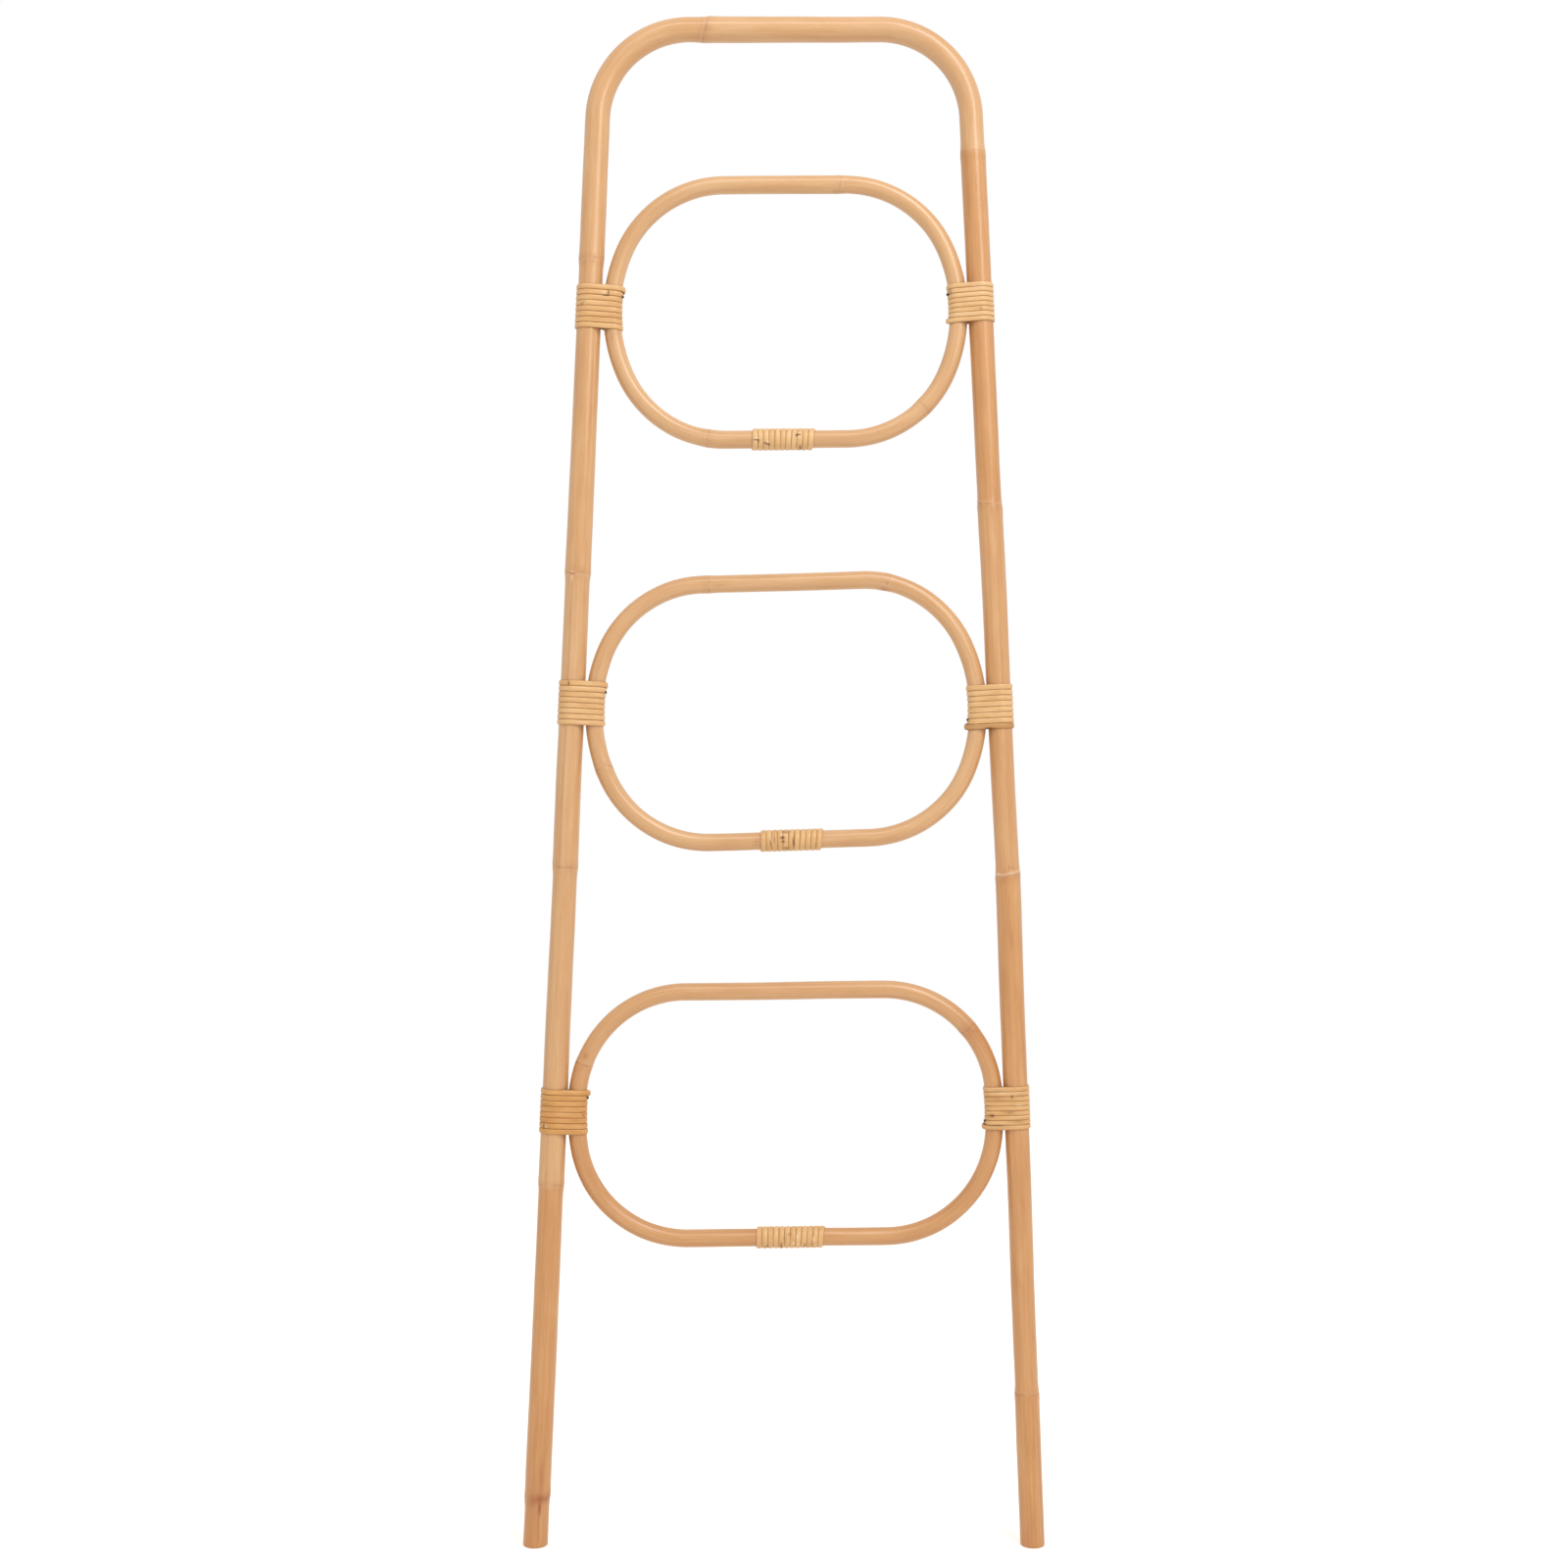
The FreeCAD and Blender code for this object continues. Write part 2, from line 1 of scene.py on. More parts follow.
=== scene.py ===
# %% [markdown]
# # A leaning towel ladder of bent rattan
# The real ladder is one thick cane bent into an upside-down U, three thinner canes bent into closed hoops
# that serve as rails, and nine windings of split cane peel that tie it all together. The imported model
# already has every piece at its place and size. This lesson gives each piece the unevenness of a plant:
# swollen nodes, leaf scars, a bud, grooves and streaks. All lengths are in metres, in the model's own frame.

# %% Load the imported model
import math
import bmesh
import bpy
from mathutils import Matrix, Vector, noise


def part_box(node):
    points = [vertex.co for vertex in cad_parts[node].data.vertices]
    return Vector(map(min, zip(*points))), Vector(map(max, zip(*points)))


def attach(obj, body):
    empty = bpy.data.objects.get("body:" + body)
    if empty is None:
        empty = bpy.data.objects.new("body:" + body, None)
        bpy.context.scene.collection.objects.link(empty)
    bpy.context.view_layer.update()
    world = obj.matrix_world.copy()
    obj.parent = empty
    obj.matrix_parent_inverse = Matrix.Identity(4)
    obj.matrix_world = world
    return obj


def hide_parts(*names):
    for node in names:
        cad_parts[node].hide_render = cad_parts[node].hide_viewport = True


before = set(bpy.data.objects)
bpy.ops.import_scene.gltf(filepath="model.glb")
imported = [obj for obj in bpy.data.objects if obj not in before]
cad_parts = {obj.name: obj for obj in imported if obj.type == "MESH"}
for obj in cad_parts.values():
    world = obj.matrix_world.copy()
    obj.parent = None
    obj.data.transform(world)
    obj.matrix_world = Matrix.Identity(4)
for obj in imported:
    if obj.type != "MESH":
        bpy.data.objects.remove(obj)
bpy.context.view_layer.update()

# %% [markdown]
# ## The camera
# The photograph looks straight at the ladder from about half its height. A level camera at that height keeps
# the upright lines upright, and its lens is chosen so that the whole ladder just fits. No shift and no depth
# of field are needed.

# %% Camera
camera_distance = 2.36
camera_height = 0.8461
camera_lens = 48.7
camera_sensor = 36.0

camera_data = bpy.data.cameras.new("camera")
camera_data.lens = camera_lens
camera_data.sensor_width = camera_sensor
camera = bpy.data.objects.new("camera", camera_data)
camera.location = (0, -camera_distance, camera_height)
camera.rotation_euler = (math.pi / 2, 0, 0)
bpy.context.scene.collection.objects.link(camera)
bpy.context.scene.camera = camera
print("the picture is", round(camera_distance * camera_sensor / camera_lens, 4), "m wide at the ladder")

# %% [markdown]
# ## The line of a cane
# A cane is straight between bends, and every bend was made round a former of one radius. So its centre line
# is a chain of straight runs and arcs, which can be asked for a point and a direction at any distance from
# the butt, the thick end. Rattan grows in internodes: each starts thick at its node and thins up to the next.

# %% Canes as runs and bends
FRONT = Vector((0, -1, 0))
UP = Vector((0, 0, 1))
LEFT, RIGHT = -1, 1
SIDE_NAMES = {LEFT: "left", RIGHT: "right"}
end_spare = 0.012
search_steps = 1500


class Cane:
    """A cane in the XZ plane: straight runs (length) and bends (radius, turn to the left)."""

    def __init__(self, start, heading, moves, butt, tip, drop, bulge, node_length):
        self.butt = butt
        self.tip = tip
        self.drop = drop
        self.bulge = bulge
        self.node_length = node_length
        self.nodes = []
        self.runs = []
        travelled = 0
        point = start
        for move in moves:
            turn = move[1] if len(move) > 1 else 0
            length = move[0] * abs(turn) if turn else move[0]
            self.runs.append((travelled, point, heading, move[0], turn))
            travelled += length
            point = self.at(travelled)[0]
            heading += turn
        self.length = travelled

    def at(self, distance):
        """Point and direction of the axis at a distance from the butt."""
        began, point, angle, radius, turn = [run for run in self.runs if run[0] <= max(distance, 0)][-1]
        heading = Vector((math.cos(angle), 0, math.sin(angle)))
        if not turn:
            return point + heading * (distance - began), heading
        leftward = Vector((-heading.z, 0, heading.x)) * math.copysign(1, turn)
        swept = (distance - began) / radius
        ahead = heading * math.sin(swept) + leftward * (1 - math.cos(swept))
        return point + ahead * radius, heading * math.cos(swept) + leftward * math.sin(swept)

    def internode(self, distance):
        """Number, start and end of the internode that holds a distance."""
        first = self.nodes[0] - (self.nodes[1] - self.nodes[0])
        last = self.nodes[-1] + (self.nodes[-1] - self.nodes[-2])
        marks = [min(first, -end_spare)] + self.nodes + [max(last, self.length + end_spare)]
        for number, (start, end) in enumerate(zip(marks, marks[1:])):
            if distance < end:
                break
        return number, start, end

    def nearest(self, across, up):
        """Distance of the point of the axis that lies nearest to a place in the ladder's plane."""
        steps = [self.length * step / search_steps for step in range(search_steps + 1)]
        return min(steps, key=lambda distance: (self.at(distance)[0] - Vector((across, 0, up))).length)

    def radius(self, distance, within=None):
        _, start, end = self.internode(distance if within is None else within)
        thick = self.butt + (self.tip - self.butt) * max(start, 0) / self.length
        return (thick - self.drop * (distance - start) / (end - start)) / 2

    def widest(self, start, end):
        """Largest radius between two distances, swellings that reach in between included."""
        half = self.node_length / 2
        radii = [self.radius(start), self.radius(end)]
        for node in self.nodes:
            if start - half < node < end + half:
                radii.append(max(self.radius(node, node - half), self.radius(node, node + half)) + self.bulge)
        return max(radii)


print("a cane is a chain of runs and bends, asked by distance from its butt")

# %% [markdown]
# ## The legs
# Both legs splay, the left one as a straight line. The right leg has a slight kink at one of its nodes and
# leans more above it, so it counts as two straight stretches. A stretch knows the foot that it points to, the
# way up and the way from it to the hoops. The sizes are the ones that the model was made from.

# %% Legs
overall_height = 1.700
foot_spacing = 0.553
left_splay = math.radians(2.5)
right_splay = math.radians(2.14)
right_kink = math.radians(0.6)
right_kink_share = 0.439
half_foot = foot_spacing / 2
kink_level = right_kink_share * overall_height


class Leg:
    """A straight stretch of a leg."""

    def __init__(self, side, splay, foot_offset):
        self.side = side
        self.splay = splay
        self.foot_offset = foot_offset
        self.foot = Vector((side * foot_offset, 0, 0))
        self.up = Vector((-side * math.sin(splay), 0, math.cos(splay)))
        self.inward = Vector((-side * math.cos(splay), 0, -math.sin(splay)))
        self.foot_distance = 0

    def offset(self, level):
        """Distance of the leg's axis from the middle of the ladder at a level."""
        return self.foot_offset - level * math.tan(self.splay)

    def height(self, level):
        """Height up the leg of a level."""
        return level / math.cos(self.splay)

    def pole_distance(self, height):
        """Distance along the pole of a height up the leg."""
        return self.foot_distance - self.side * height

    def widest(self, height, half_length):
        distance = self.pole_distance(height)
        return pole.widest(distance - half_length, distance + half_length)


left_leg = Leg(LEFT, left_splay, half_foot)
right_leg = Leg(RIGHT, right_splay, half_foot)
upper_splay = right_splay + right_kink
upper_right_leg = Leg(RIGHT, upper_splay, right_leg.offset(kink_level) + kink_level * math.tan(upper_splay))
print("feet", foot_spacing, "m apart, right leg kinked", round(kink_level, 3), "m up")

# %% [markdown]
# ## The pole
# One cane of about 29 mm goes up the left leg, over the top and down the right leg. The share lists say where
# its nodes sit: on the legs as shares of the height, on the bar as shares of half the width there, from the
# ladder's middle.

# %% The pole's line
pole_bend_radius = 0.102
kink_radius = 3.0
pole_butt = 0.0290
pole_tip = 0.0274
pole_drop = 0.0018
pole_bulge = 0.0005
pole_node_length = 0.015
left_leg_node_shares = (0.031, 0.236, 0.443, 0.635, 0.840)
bar_node_shares = (-0.43,)
right_leg_node_shares = (0.911, 0.680, right_kink_share, 0.100)
bar_level = overall_height - (pole_butt + pole_tip) / 4 - pole_bulge


class Corner:
    """Bend between a leg and the bar."""

    def __init__(self, leg):
        self.turn = math.pi / 2 - leg.splay
        self.reach = pole_bend_radius * math.tan(self.turn / 2)
        self.offset = leg.offset(bar_level)
        self.move = (pole_bend_radius, -self.turn)


left_corner = Corner(left_leg)
right_corner = Corner(upper_right_leg)
kink_reach = kink_radius * math.tan(right_kink / 2)
left_run = left_leg.height(bar_level) - left_corner.reach
bar_run = left_corner.offset - left_corner.reach + right_corner.offset - right_corner.reach
upper_run = upper_right_leg.height(bar_level - kink_level) - right_corner.reach - kink_reach
lower_run = right_leg.height(kink_level) - kink_reach
pole_moves = [(left_run,), left_corner.move, (bar_run,), right_corner.move]
pole_moves += [(upper_run,), (kink_radius, -right_kink), (lower_run,)]
pole = Cane(left_leg.foot, left_corner.turn, pole_moves, pole_butt, pole_tip, pole_drop, pole_bulge,
            pole_node_length)
right_leg.foot_distance = pole.length
upper_right_leg.foot_distance = pole.length + upper_right_leg.height(kink_level)
upper_right_leg.foot_distance -= right_leg.height(kink_level)
bar_middle = left_run + pole_bend_radius * left_corner.turn + left_corner.offset - left_corner.reach


def on_left(level):
    """Distance along the pole of a level on the left leg."""
    return left_leg.pole_distance(left_leg.height(level))


def on_right(level):
    """Distance along the pole of a level on the right leg."""
    leg = upper_right_leg if level > kink_level else right_leg
    return leg.pole_distance(leg.height(level))


pole.nodes = [on_left(share * overall_height) for share in left_leg_node_shares]
pole.nodes += [bar_middle + share * left_corner.offset for share in bar_node_shares]
pole.nodes += [on_right(share * overall_height) for share in right_leg_node_shares]
pole_low, pole_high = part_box("frame_pole")
pole_height = round(pole_high[2] - pole_low[2], 4)
print("pole", round(pole.length, 3), "m long, the model's pole is", pole_height, "m high")

# %% [markdown]
# ## The hoops
# Each hoop is a thinner cane whose two sides lie against the legs. Its ends are cut on the slant and joined
# at the bottom. The legs decide how wide a hoop is: its side bends move out until they touch the legs.

# %% One hoop
hoop_diameter = 0.020
hoop_drop = 0.0007
hoop_bulge = 0.0003
hoop_node_length = 0.013
hoop_seat_clearance = 0.0003
peel_pitch = 0.0062
hoop_radius = hoop_diameter / 2


class Hoop:
    """A closed hoop whose two sides lie against the legs."""

    def __init__(self, name, leg_on_right, top, height, side_radius, shoulder, tilt_deg, scarf_shift,
                 binding_shifts, node_shares, turns, scarf_turns):
        self.name = name
        self.legs = {LEFT: left_leg, RIGHT: leg_on_right}
        self.binding_shifts = dict(zip(self.legs, binding_shifts))
        self.turns = dict(zip(self.legs, turns))
        self.scarf_turns = scarf_turns
        self.side_radius = side_radius
        self.tilt = math.radians(tilt_deg)
        self.half_height = height / 2 - hoop_radius
        self.corner_radius = self.half_height - shoulder
        level = top - height / 2
        reach = {}
        for side, leg in self.legs.items():
            leg_radius = leg.widest(leg.height(level), self.turns[side] * peel_pitch)
            seat = side_radius + hoop_radius + hoop_seat_clearance + leg_radius
            reach[side] = leg.offset(level) - seat / math.cos(leg.splay)
        self.centre = Vector(((reach[RIGHT] - reach[LEFT]) / 2, 0, level))
        self.side_offset = (reach[RIGHT] + reach[LEFT]) / 2
        self.spare = side_radius - self.corner_radius
        self.side_half_turn = math.asin(shoulder / self.spare)
        half_run = self.side_offset + self.spare * math.cos(self.side_half_turn)
        self.right = Vector((math.cos(self.tilt), 0, math.sin(self.tilt)))
        self.upward = Vector((-math.sin(self.tilt), 0, math.cos(self.tilt)))
        self.scarf = self.centre - self.upward * self.half_height + self.right * scarf_shift
        corner = (self.corner_radius, math.pi / 2 - self.side_half_turn)
        end = [corner, (side_radius, 2 * self.side_half_turn), corner]
        moves = [(half_run - scarf_shift,)] + end + [(2 * half_run,)] + end + [(half_run + scarf_shift,)]
        self.cane = Cane(self.scarf, self.tilt, moves, hoop_diameter, hoop_diameter, hoop_drop, hoop_bulge,
                         hoop_node_length)
        self.cane.nodes = [share * self.cane.length for share in node_shares]

    def side_middle(self, side):
        """Distance along the hoop's cane of the middle of a side."""
        return self.cane.length / 4 if side == RIGHT else self.cane.length * 3 / 4

    def widest(self, side):
        half_length = self.turns[side] * peel_pitch
        return self.cane.widest(self.side_middle(side) - half_length, self.side_middle(side) + half_length)

    def seat(self, side):
        """Height up the leg where the hoop lies nearest, and the distance of the side bend's centre."""
        leg = self.legs[side]
        bend_centre = self.centre + self.right * (side * self.side_offset) - leg.foot
        return bend_centre.dot(leg.up), bend_centre.dot(leg.inward)

    def binding_height(self, side):
        """Height up the leg of the middle of a side winding."""
        return self.seat(side)[0] + self.binding_shifts[side]

    def distance(self, side, height):
        """Distance from the leg's axis to the hoop's axis at a height up the leg."""
        seat_height, seat_distance = self.seat(side)
        rise = height - seat_height
        lean = side * self.tilt - self.legs[side].splay
        for turn in (lean - self.side_half_turn, lean + self.side_half_turn):
            if (rise - self.side_radius * math.sin(turn)) * (turn - lean) > 0:
                corner_rise = rise - self.spare * math.sin(turn)
                corner_distance = seat_distance - self.spare * math.cos(turn)
                return corner_distance - math.sqrt(self.corner_radius ** 2 - corner_rise ** 2)
        return seat_distance - math.sqrt(self.side_radius ** 2 - rise ** 2)


print("hoop cane of", hoop_diameter, "m")

# %% [markdown]
# A hoop is placed by the gap over it, to the ladder's top or to the hoop above. The last numbers are the
# places of its nodes, as shares of the way round, and the turns of its windings: left, right and splice.

# %% Three hoops
upper_hoop_gap, upper_hoop_height = 0.1775, 0.303
middle_hoop_gap, middle_hoop_height = 0.139, 0.307
lower_hoop_gap, lower_hoop_height = 0.1475, 0.294
upper_top = overall_height - upper_hoop_gap
middle_top = upper_top - upper_hoop_height - middle_hoop_gap
lower_top = middle_top - middle_hoop_height - lower_hoop_gap
hoops = [
    Hoop("upper", upper_right_leg, upper_top, upper_hoop_height,
         side_radius=0.172, shoulder=0.0205, tilt_deg=0.3,
         scarf_shift=-0.0033, binding_shifts=(-0.0020, 0.0035), node_shares=(0.147, 0.448, 0.924),
         turns=(8, 8), scarf_turns=11),
    Hoop("middle", upper_right_leg, middle_top, middle_hoop_height,
         side_radius=0.180, shoulder=0.0225, tilt_deg=1.7,
         scarf_shift=0.0017, binding_shifts=(0.0015, -0.0055), node_shares=(0.401, 0.565, 0.796),
         turns=(8, 8), scarf_turns=11),
    Hoop("lower", right_leg, lower_top, lower_hoop_height,
         side_radius=0.230, shoulder=0.0160, tilt_deg=0.7,
         scarf_shift=0.0031, binding_shifts=(-0.0090, -0.0040), node_shares=(0.325, 0.70),
         turns=(8, 9), scarf_turns=12),
]
for hoop in hoops:
    low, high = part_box(f"{hoop.name}_hoop")
    half_width = hoop.side_offset + hoop.side_radius + hoop_radius
    print(hoop.name, "hoop", round(2 * half_width, 4), "m wide, in the model", round(high[0] - low[0], 4))

# %% [markdown]
# ## A sheet rolled into a tube
# A cane's skin and a strip of peel are both long tubes. A flat grid has the right number of rows and columns
# already, so each corner of the grid is only moved to its place on the tube, the two long edges are merged,
# and the ends are closed. While it moves, each corner is told where it was on the straight cane, and how
# warm, brown or pale the skin is there, so that the finish can follow the fibres round every bend.

# %% Roll a sheet
weld_distance = 1e-7
half_grid = 0.5


def roll_sheet(name, rows, columns, place):
    """Closed tube from a grid: place(row, column) gives point, straight place, warmth, brown and pale."""
    bm = bmesh.new()
    unbent = bm.verts.layers.float_vector.new("unbent")
    layers = [bm.verts.layers.float.new(layer_name) for layer_name in ("warmth", "brown", "pale")]
    bmesh.ops.create_grid(bm, x_segments=rows - 1, y_segments=columns, size=half_grid)
    for vert in bm.verts:
        row = round((vert.co.x + half_grid) * (rows - 1))
        column = round((vert.co.y + half_grid) * columns) % columns
        vert.co, vert[unbent], *values = place(row, column)
        for layer, value in zip(layers, values):
            vert[layer] = value
    bmesh.ops.remove_doubles(bm, verts=bm.verts, dist=weld_distance)
    for face in bm.faces:
        face.smooth = True
    rims = [edge for edge in bm.edges if edge.is_boundary]
    ends = bmesh.ops.holes_fill(bm, edges=rims, sides=0)["faces"]
    for face in ends:
        face.smooth = False
        for edge in face.edges:
            edge.smooth = False
    bmesh.ops.recalc_face_normals(bm, faces=bm.faces)
    return finish_mesh(name, bm)


def finish_mesh(name, bm):
    """Object of a finished mesh, riding on the ladder."""
    mesh = bpy.data.meshes.new(name)
    bm.to_mesh(mesh)
    bm.free()
    piece = bpy.data.objects.new(name, mesh)
    bpy.context.scene.collection.objects.link(piece)
    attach(piece, "root")
    print(name, len(mesh.polygons), "faces")
    return piece


print("the edges of a rolled sheet are merged within", weld_distance, "m")

# %% [markdown]
# ## The skin of a cane
# A node is a low swelling with a scar line where the leaf sheath sat, often oblique, and a painted highlight
# on its ridge. The cane is thinner before it than after it. Some internodes carry a shallow groove, pressed
# in by the bud stalk, with painted shade along it and a painted highlight on one lip, and stains. All of it
# is added to the plain radius, so the skin stays on the cane's line. A free stretch may wander a little from
# its line, but where it is tied it stays put.

# %% Sizes of nodes and grooves
node_zone = 0.030
scar_width = 0.0009
scar_cut_width = 1.4 * scar_width
ridge_width = 2 * scar_width
halo_width = 0.007
halo_level = 0.5
scar_depth = 0.00035
scar_wander = 0.0012
swelling_sharpness = 2.2
ragged_scale, ragged_step = 1.7, 50
broken_scale, broken_step = 2.2, 31
broken_level, broken_swing = 0.45, 1.3
oval_share = 0.006
oval_drift = 0.22
lump_height = 0.00016
lump_length = 0.035
lump_scale = 0.8
# A groove gets a line of painted shade along it and a painted highlight on one lip.
groove_width = 0.0011
groove_cut_width = 1.6 * groove_width
groove_fade = 0.012
groove_level, groove_swing, groove_step = 0.75, 0.5, 40
lip_highlight_strength = 0.35
lip_offset = 2.4 * groove_width
lip_width = 1.4 * groove_width
spot_reach = 3
stray = 0.0007
stray_length = 0.16
stray_layers = (3, 7)
tie_reach = 0.10
end_calm = 0.06
print("scars are", scar_depth * 1000, "mm deep and", scar_width * 1000, "mm wide")

# %% Soft steps
def bell(offset):
    """1 at 0, falling to nearly 0 at 2 on both sides."""
    return math.exp(-offset * offset)


def ease(share):
    """Soft step from 0 to 1."""
    share = min(max(share, 0), 1)
    return share * share * (3 - 2 * share)


def wrapped(angle):
    """The same angle within half a turn of the front."""
    return math.remainder(angle, 2 * math.pi)


print("a quarter of the way, a soft step is at", ease(0.25))

# %% Skin of a cane
class Skin:
    """What grows on a cane: node scars, grooves and spots, and the warmth of each internode."""

    def __init__(self, cane, seed, scars, warmth, grooves=(), spots=(), ties=()):
        self.cane = cane
        self.seed = seed
        self.scars = scars
        self.warmth = warmth
        self.grooves = grooves
        self.spots = spots
        self.ties = ties

    def at(self, distance, angle):
        """Radius, warmth, brown and pale at a distance and an angle, front first, round the cane."""
        cane = self.cane
        radius = cane.radius(distance)
        warmth = self.warmth[cane.internode(distance)[0]]
        brown = 0
        pale = 0
        side = Vector((math.cos(angle), math.sin(angle), 0))
        for number, node in enumerate(cane.nodes):
            if abs(distance - node) < node_zone:
                slant, slant_turn, scar, halo, light = self.scars[number]
                ragged = noise.noise(side * ragged_scale + Vector((0, 0, node * ragged_step + self.seed)))
                slanted = slant * math.cos(angle - math.radians(slant_turn))
                past = distance - node - slanted - scar_wander * ragged
                before = cane.radius(distance, node - node_zone)
                after = cane.radius(distance, node + node_zone)
                step = ease(past / cane.node_length + 0.5)
                radius = before + (after - before) * step
                radius += cane.bulge * bell(swelling_sharpness * past / cane.node_length)
                radius -= scar_depth * scar * bell(past / scar_cut_width)
                patch = noise.noise(side * broken_scale + Vector((0, 0, node * broken_step + self.seed)))
                broken = broken_level + broken_swing * patch
                brown += scar * max(broken, 0) * bell(past / scar_width)
                brown += halo * bell(past / halo_width) * max(halo_level + ragged, 0)
                # Painted highlight on the node's ridge.
                pale += light * bell((past + ridge_width) / ridge_width)
                older = self.warmth[number]
                warmth = older + (self.warmth[number + 1] - older) * step
        for start, end, groove_turn, twist, depth, tint in self.grooves:
            if start < distance < end:
                share = (distance - start) / (end - start)
                turn = math.radians(groove_turn + twist * share)
                across = wrapped(angle - turn) * radius
                fade = ease((distance - start) / groove_fade) * ease((end - distance) / groove_fade)
                patch = noise.noise(Vector((distance * groove_step, turn, self.seed)))
                uneven = groove_level + groove_swing * patch
                radius -= depth * fade * bell(across / groove_cut_width)
                # Painted shade along the groove, and a painted highlight on its lip.
                brown += tint * fade * uneven * bell(across / groove_width)
                pale += lip_highlight_strength * tint * fade * bell((across + lip_offset) / lip_width)
        for place, spot_turn, half_length, half_width, tint, light, sink in self.spots:
            if abs(distance - place) < spot_reach * half_length:
                across = wrapped(angle - math.radians(spot_turn)) * radius
                spot = bell((distance - place) / half_length) * bell(across / half_width)
                brown += tint * spot
                pale += light * spot
                radius -= sink * spot
        calm = ease(min(distance, cane.length - distance) / end_calm)
        radius *= 1 + calm * oval_share * math.cos(2 * (angle - distance / oval_drift))
        lump = noise.noise(side * lump_scale + Vector((0, 0, distance / lump_length + self.seed)))
        radius += calm * lump_height * lump
        return radius, warmth, min(brown, 1), min(pale, 1)

    def strays(self, distance):
        """How far the axis wanders to the side and to the front."""
        free = 1
        for tie in self.ties:
            free *= ease(abs(distance - tie) / tie_reach)
        drifts = [noise.noise(Vector((distance / stray_length, self.seed, layer))) for layer in stray_layers]
        return [free * stray * drift for drift in drifts]


print("the skin of a free stretch wanders by up to", stray * 1000, "mm")

# %% [markdown]
# ## Rows of rings along a cane
# Rings lie a few millimetres apart on plain stretches and close together at nodes and at the ends, because
# only there does the shape change quickly. An end is cut on a slant: a foot level with the floor, a hoop's
# end along its scarf. The slant is spread over a short stretch, so that the rings don't cross.

# %% Dress a cane
plain_step = 0.0045
node_step = 0.0008
node_steps_reach = 0.009
slant_reach = 0.075
rim_shade = 0.4


def ring_distances(cane, extra):
    """Distances of the rings from the butt to the tip."""
    distances = []
    distance = 0
    while distance < cane.length:
        distances.append(distance)
        near = min(abs(distance - mark) for mark in cane.nodes + list(extra))
        plain = min(plain_step, max(near - node_steps_reach, node_step))
        distance += node_step if near < node_steps_reach else plain
    return distances + [cane.length]


def dress_cane(name, skin, around, start_slope, end_slope, round_edge=0, extra=()):
    """Skin of a cane as one rolled sheet. A slope is the slant of an end per height off the axis."""
    cane = skin.cane
    distances = ring_distances(cane, extra)

    def place(row, column):
        angle = 2 * math.pi * column / around
        distance = distances[row]
        radius = skin.at(distance, angle)[0]
        lift = radius * math.sin(angle)
        to_start = ease(1 - distance / slant_reach)
        to_end = ease(1 - (cane.length - distance) / slant_reach)
        along = distance + lift * (start_slope * to_start + end_slope * to_end)
        radius, warmth, brown, pale = skin.at(along, angle)
        edge = min(distance, cane.length - distance)
        if edge < round_edge:
            radius -= round_edge * (1 - math.sqrt(1 - (1 - edge / round_edge) ** 2))
            # Painted shade on the rounded rim of the cut end.
            brown = max(brown, rim_shade * (1 - edge / round_edge))
        point, direction = cane.at(along)
        outside = Vector((-direction.z, 0, direction.x))
        aside, ahead = skin.strays(along)
        offset = FRONT * (radius * math.cos(angle) + ahead) + outside * (radius * math.sin(angle) + aside)
        straight = Vector((radius * math.cos(angle), radius * math.sin(angle), along + skin.seed))
        corner = point + offset
        corner.z = max(corner.z, 0)
        return corner, straight, warmth, brown, pale

    return roll_sheet(name, len(distances), around, place)


print("rings lie", plain_step, "m apart on plain stretches and", node_step, "m at nodes")

# %% [markdown]
# ## The pole's marks
# These are read off the photograph. A scar has a slant, the direction of that slant round the cane,
# the strength of its brown line, of the brown round it and of a painted highlight on its ridge. Angles start
# at the front and go to the outside of the ladder. On the left leg one node has a bud: a dark crescent with a
# painted highlight on its lip, and a groove below it, with painted shade along it and a painted highlight on
# its lip. The right leg has an orange stain below the node at its kink, and two small cracks just above that
# node. The left foot has a dark streak, and both feet and the right corner are tinted a little.

# %% Marks of the pole
# Scars: slant, turn, brown line, brown round it, and painted highlight on its ridge.
pole_scars = [
    (0.0026, -80, 0.40, 0.40, 0.0),
    (0.0008, 40, 0.45, 0.18, 0.1),
    (0.0010, 60, 0.40, 0.20, 0.1),
    (0.0006, 0, 0.30, 0.12, 0.2),
    (0.0012, -50, 0.35, 0.14, 0.1),
    (0.0036, 90, 0.42, 0.22, 0.2),
    (0.0012, 30, 0.30, 0.20, 0.1),
    (0.0024, 90, 0.70, 0.20, 0.2),
    (0.0026, -60, 0.25, 0.35, 0.7),
    (0.0004, 0, 0.60, 0.12, 0.1),
]
pole_warmth = [1.0, 0.92, 0.36, 0.30, 0.48, 0.40, 0.18, 0.84, 0.62, 0.84, 1.0]
bud = pole.nodes[3]
bud_turn = 21
stain = on_right(0.676)
crack = on_right(0.7535)
foot_streak = on_left(0.0436)
# Grooves: start, end, turn, twist, depth, and the strength of the painted shade along it and of the painted
# highlight on its lip.
pole_grooves = [
    (pole.nodes[2] - 0.006, bud - 0.004, bud_turn + 3, -3, 0.00045, 0.42),
    (pole.nodes[7] + 0.010, pole.nodes[8] - 0.004, 12, 6, 0.00025, 0.20),
    (pole.nodes[9] + 0.020, pole.length - 0.004, 44, 6, 0.00030, 0.32),
    (0.003, pole.nodes[0] - 0.004, -18, 4, 0.00025, 0.34),
    (pole.nodes[1] + 0.02, pole.nodes[2] - 0.03, -40, 12, 0.00020, 0.16),
    (pole.nodes[3] + 0.03, pole.nodes[4] - 0.02, -30, -8, 0.00020, 0.14),
]
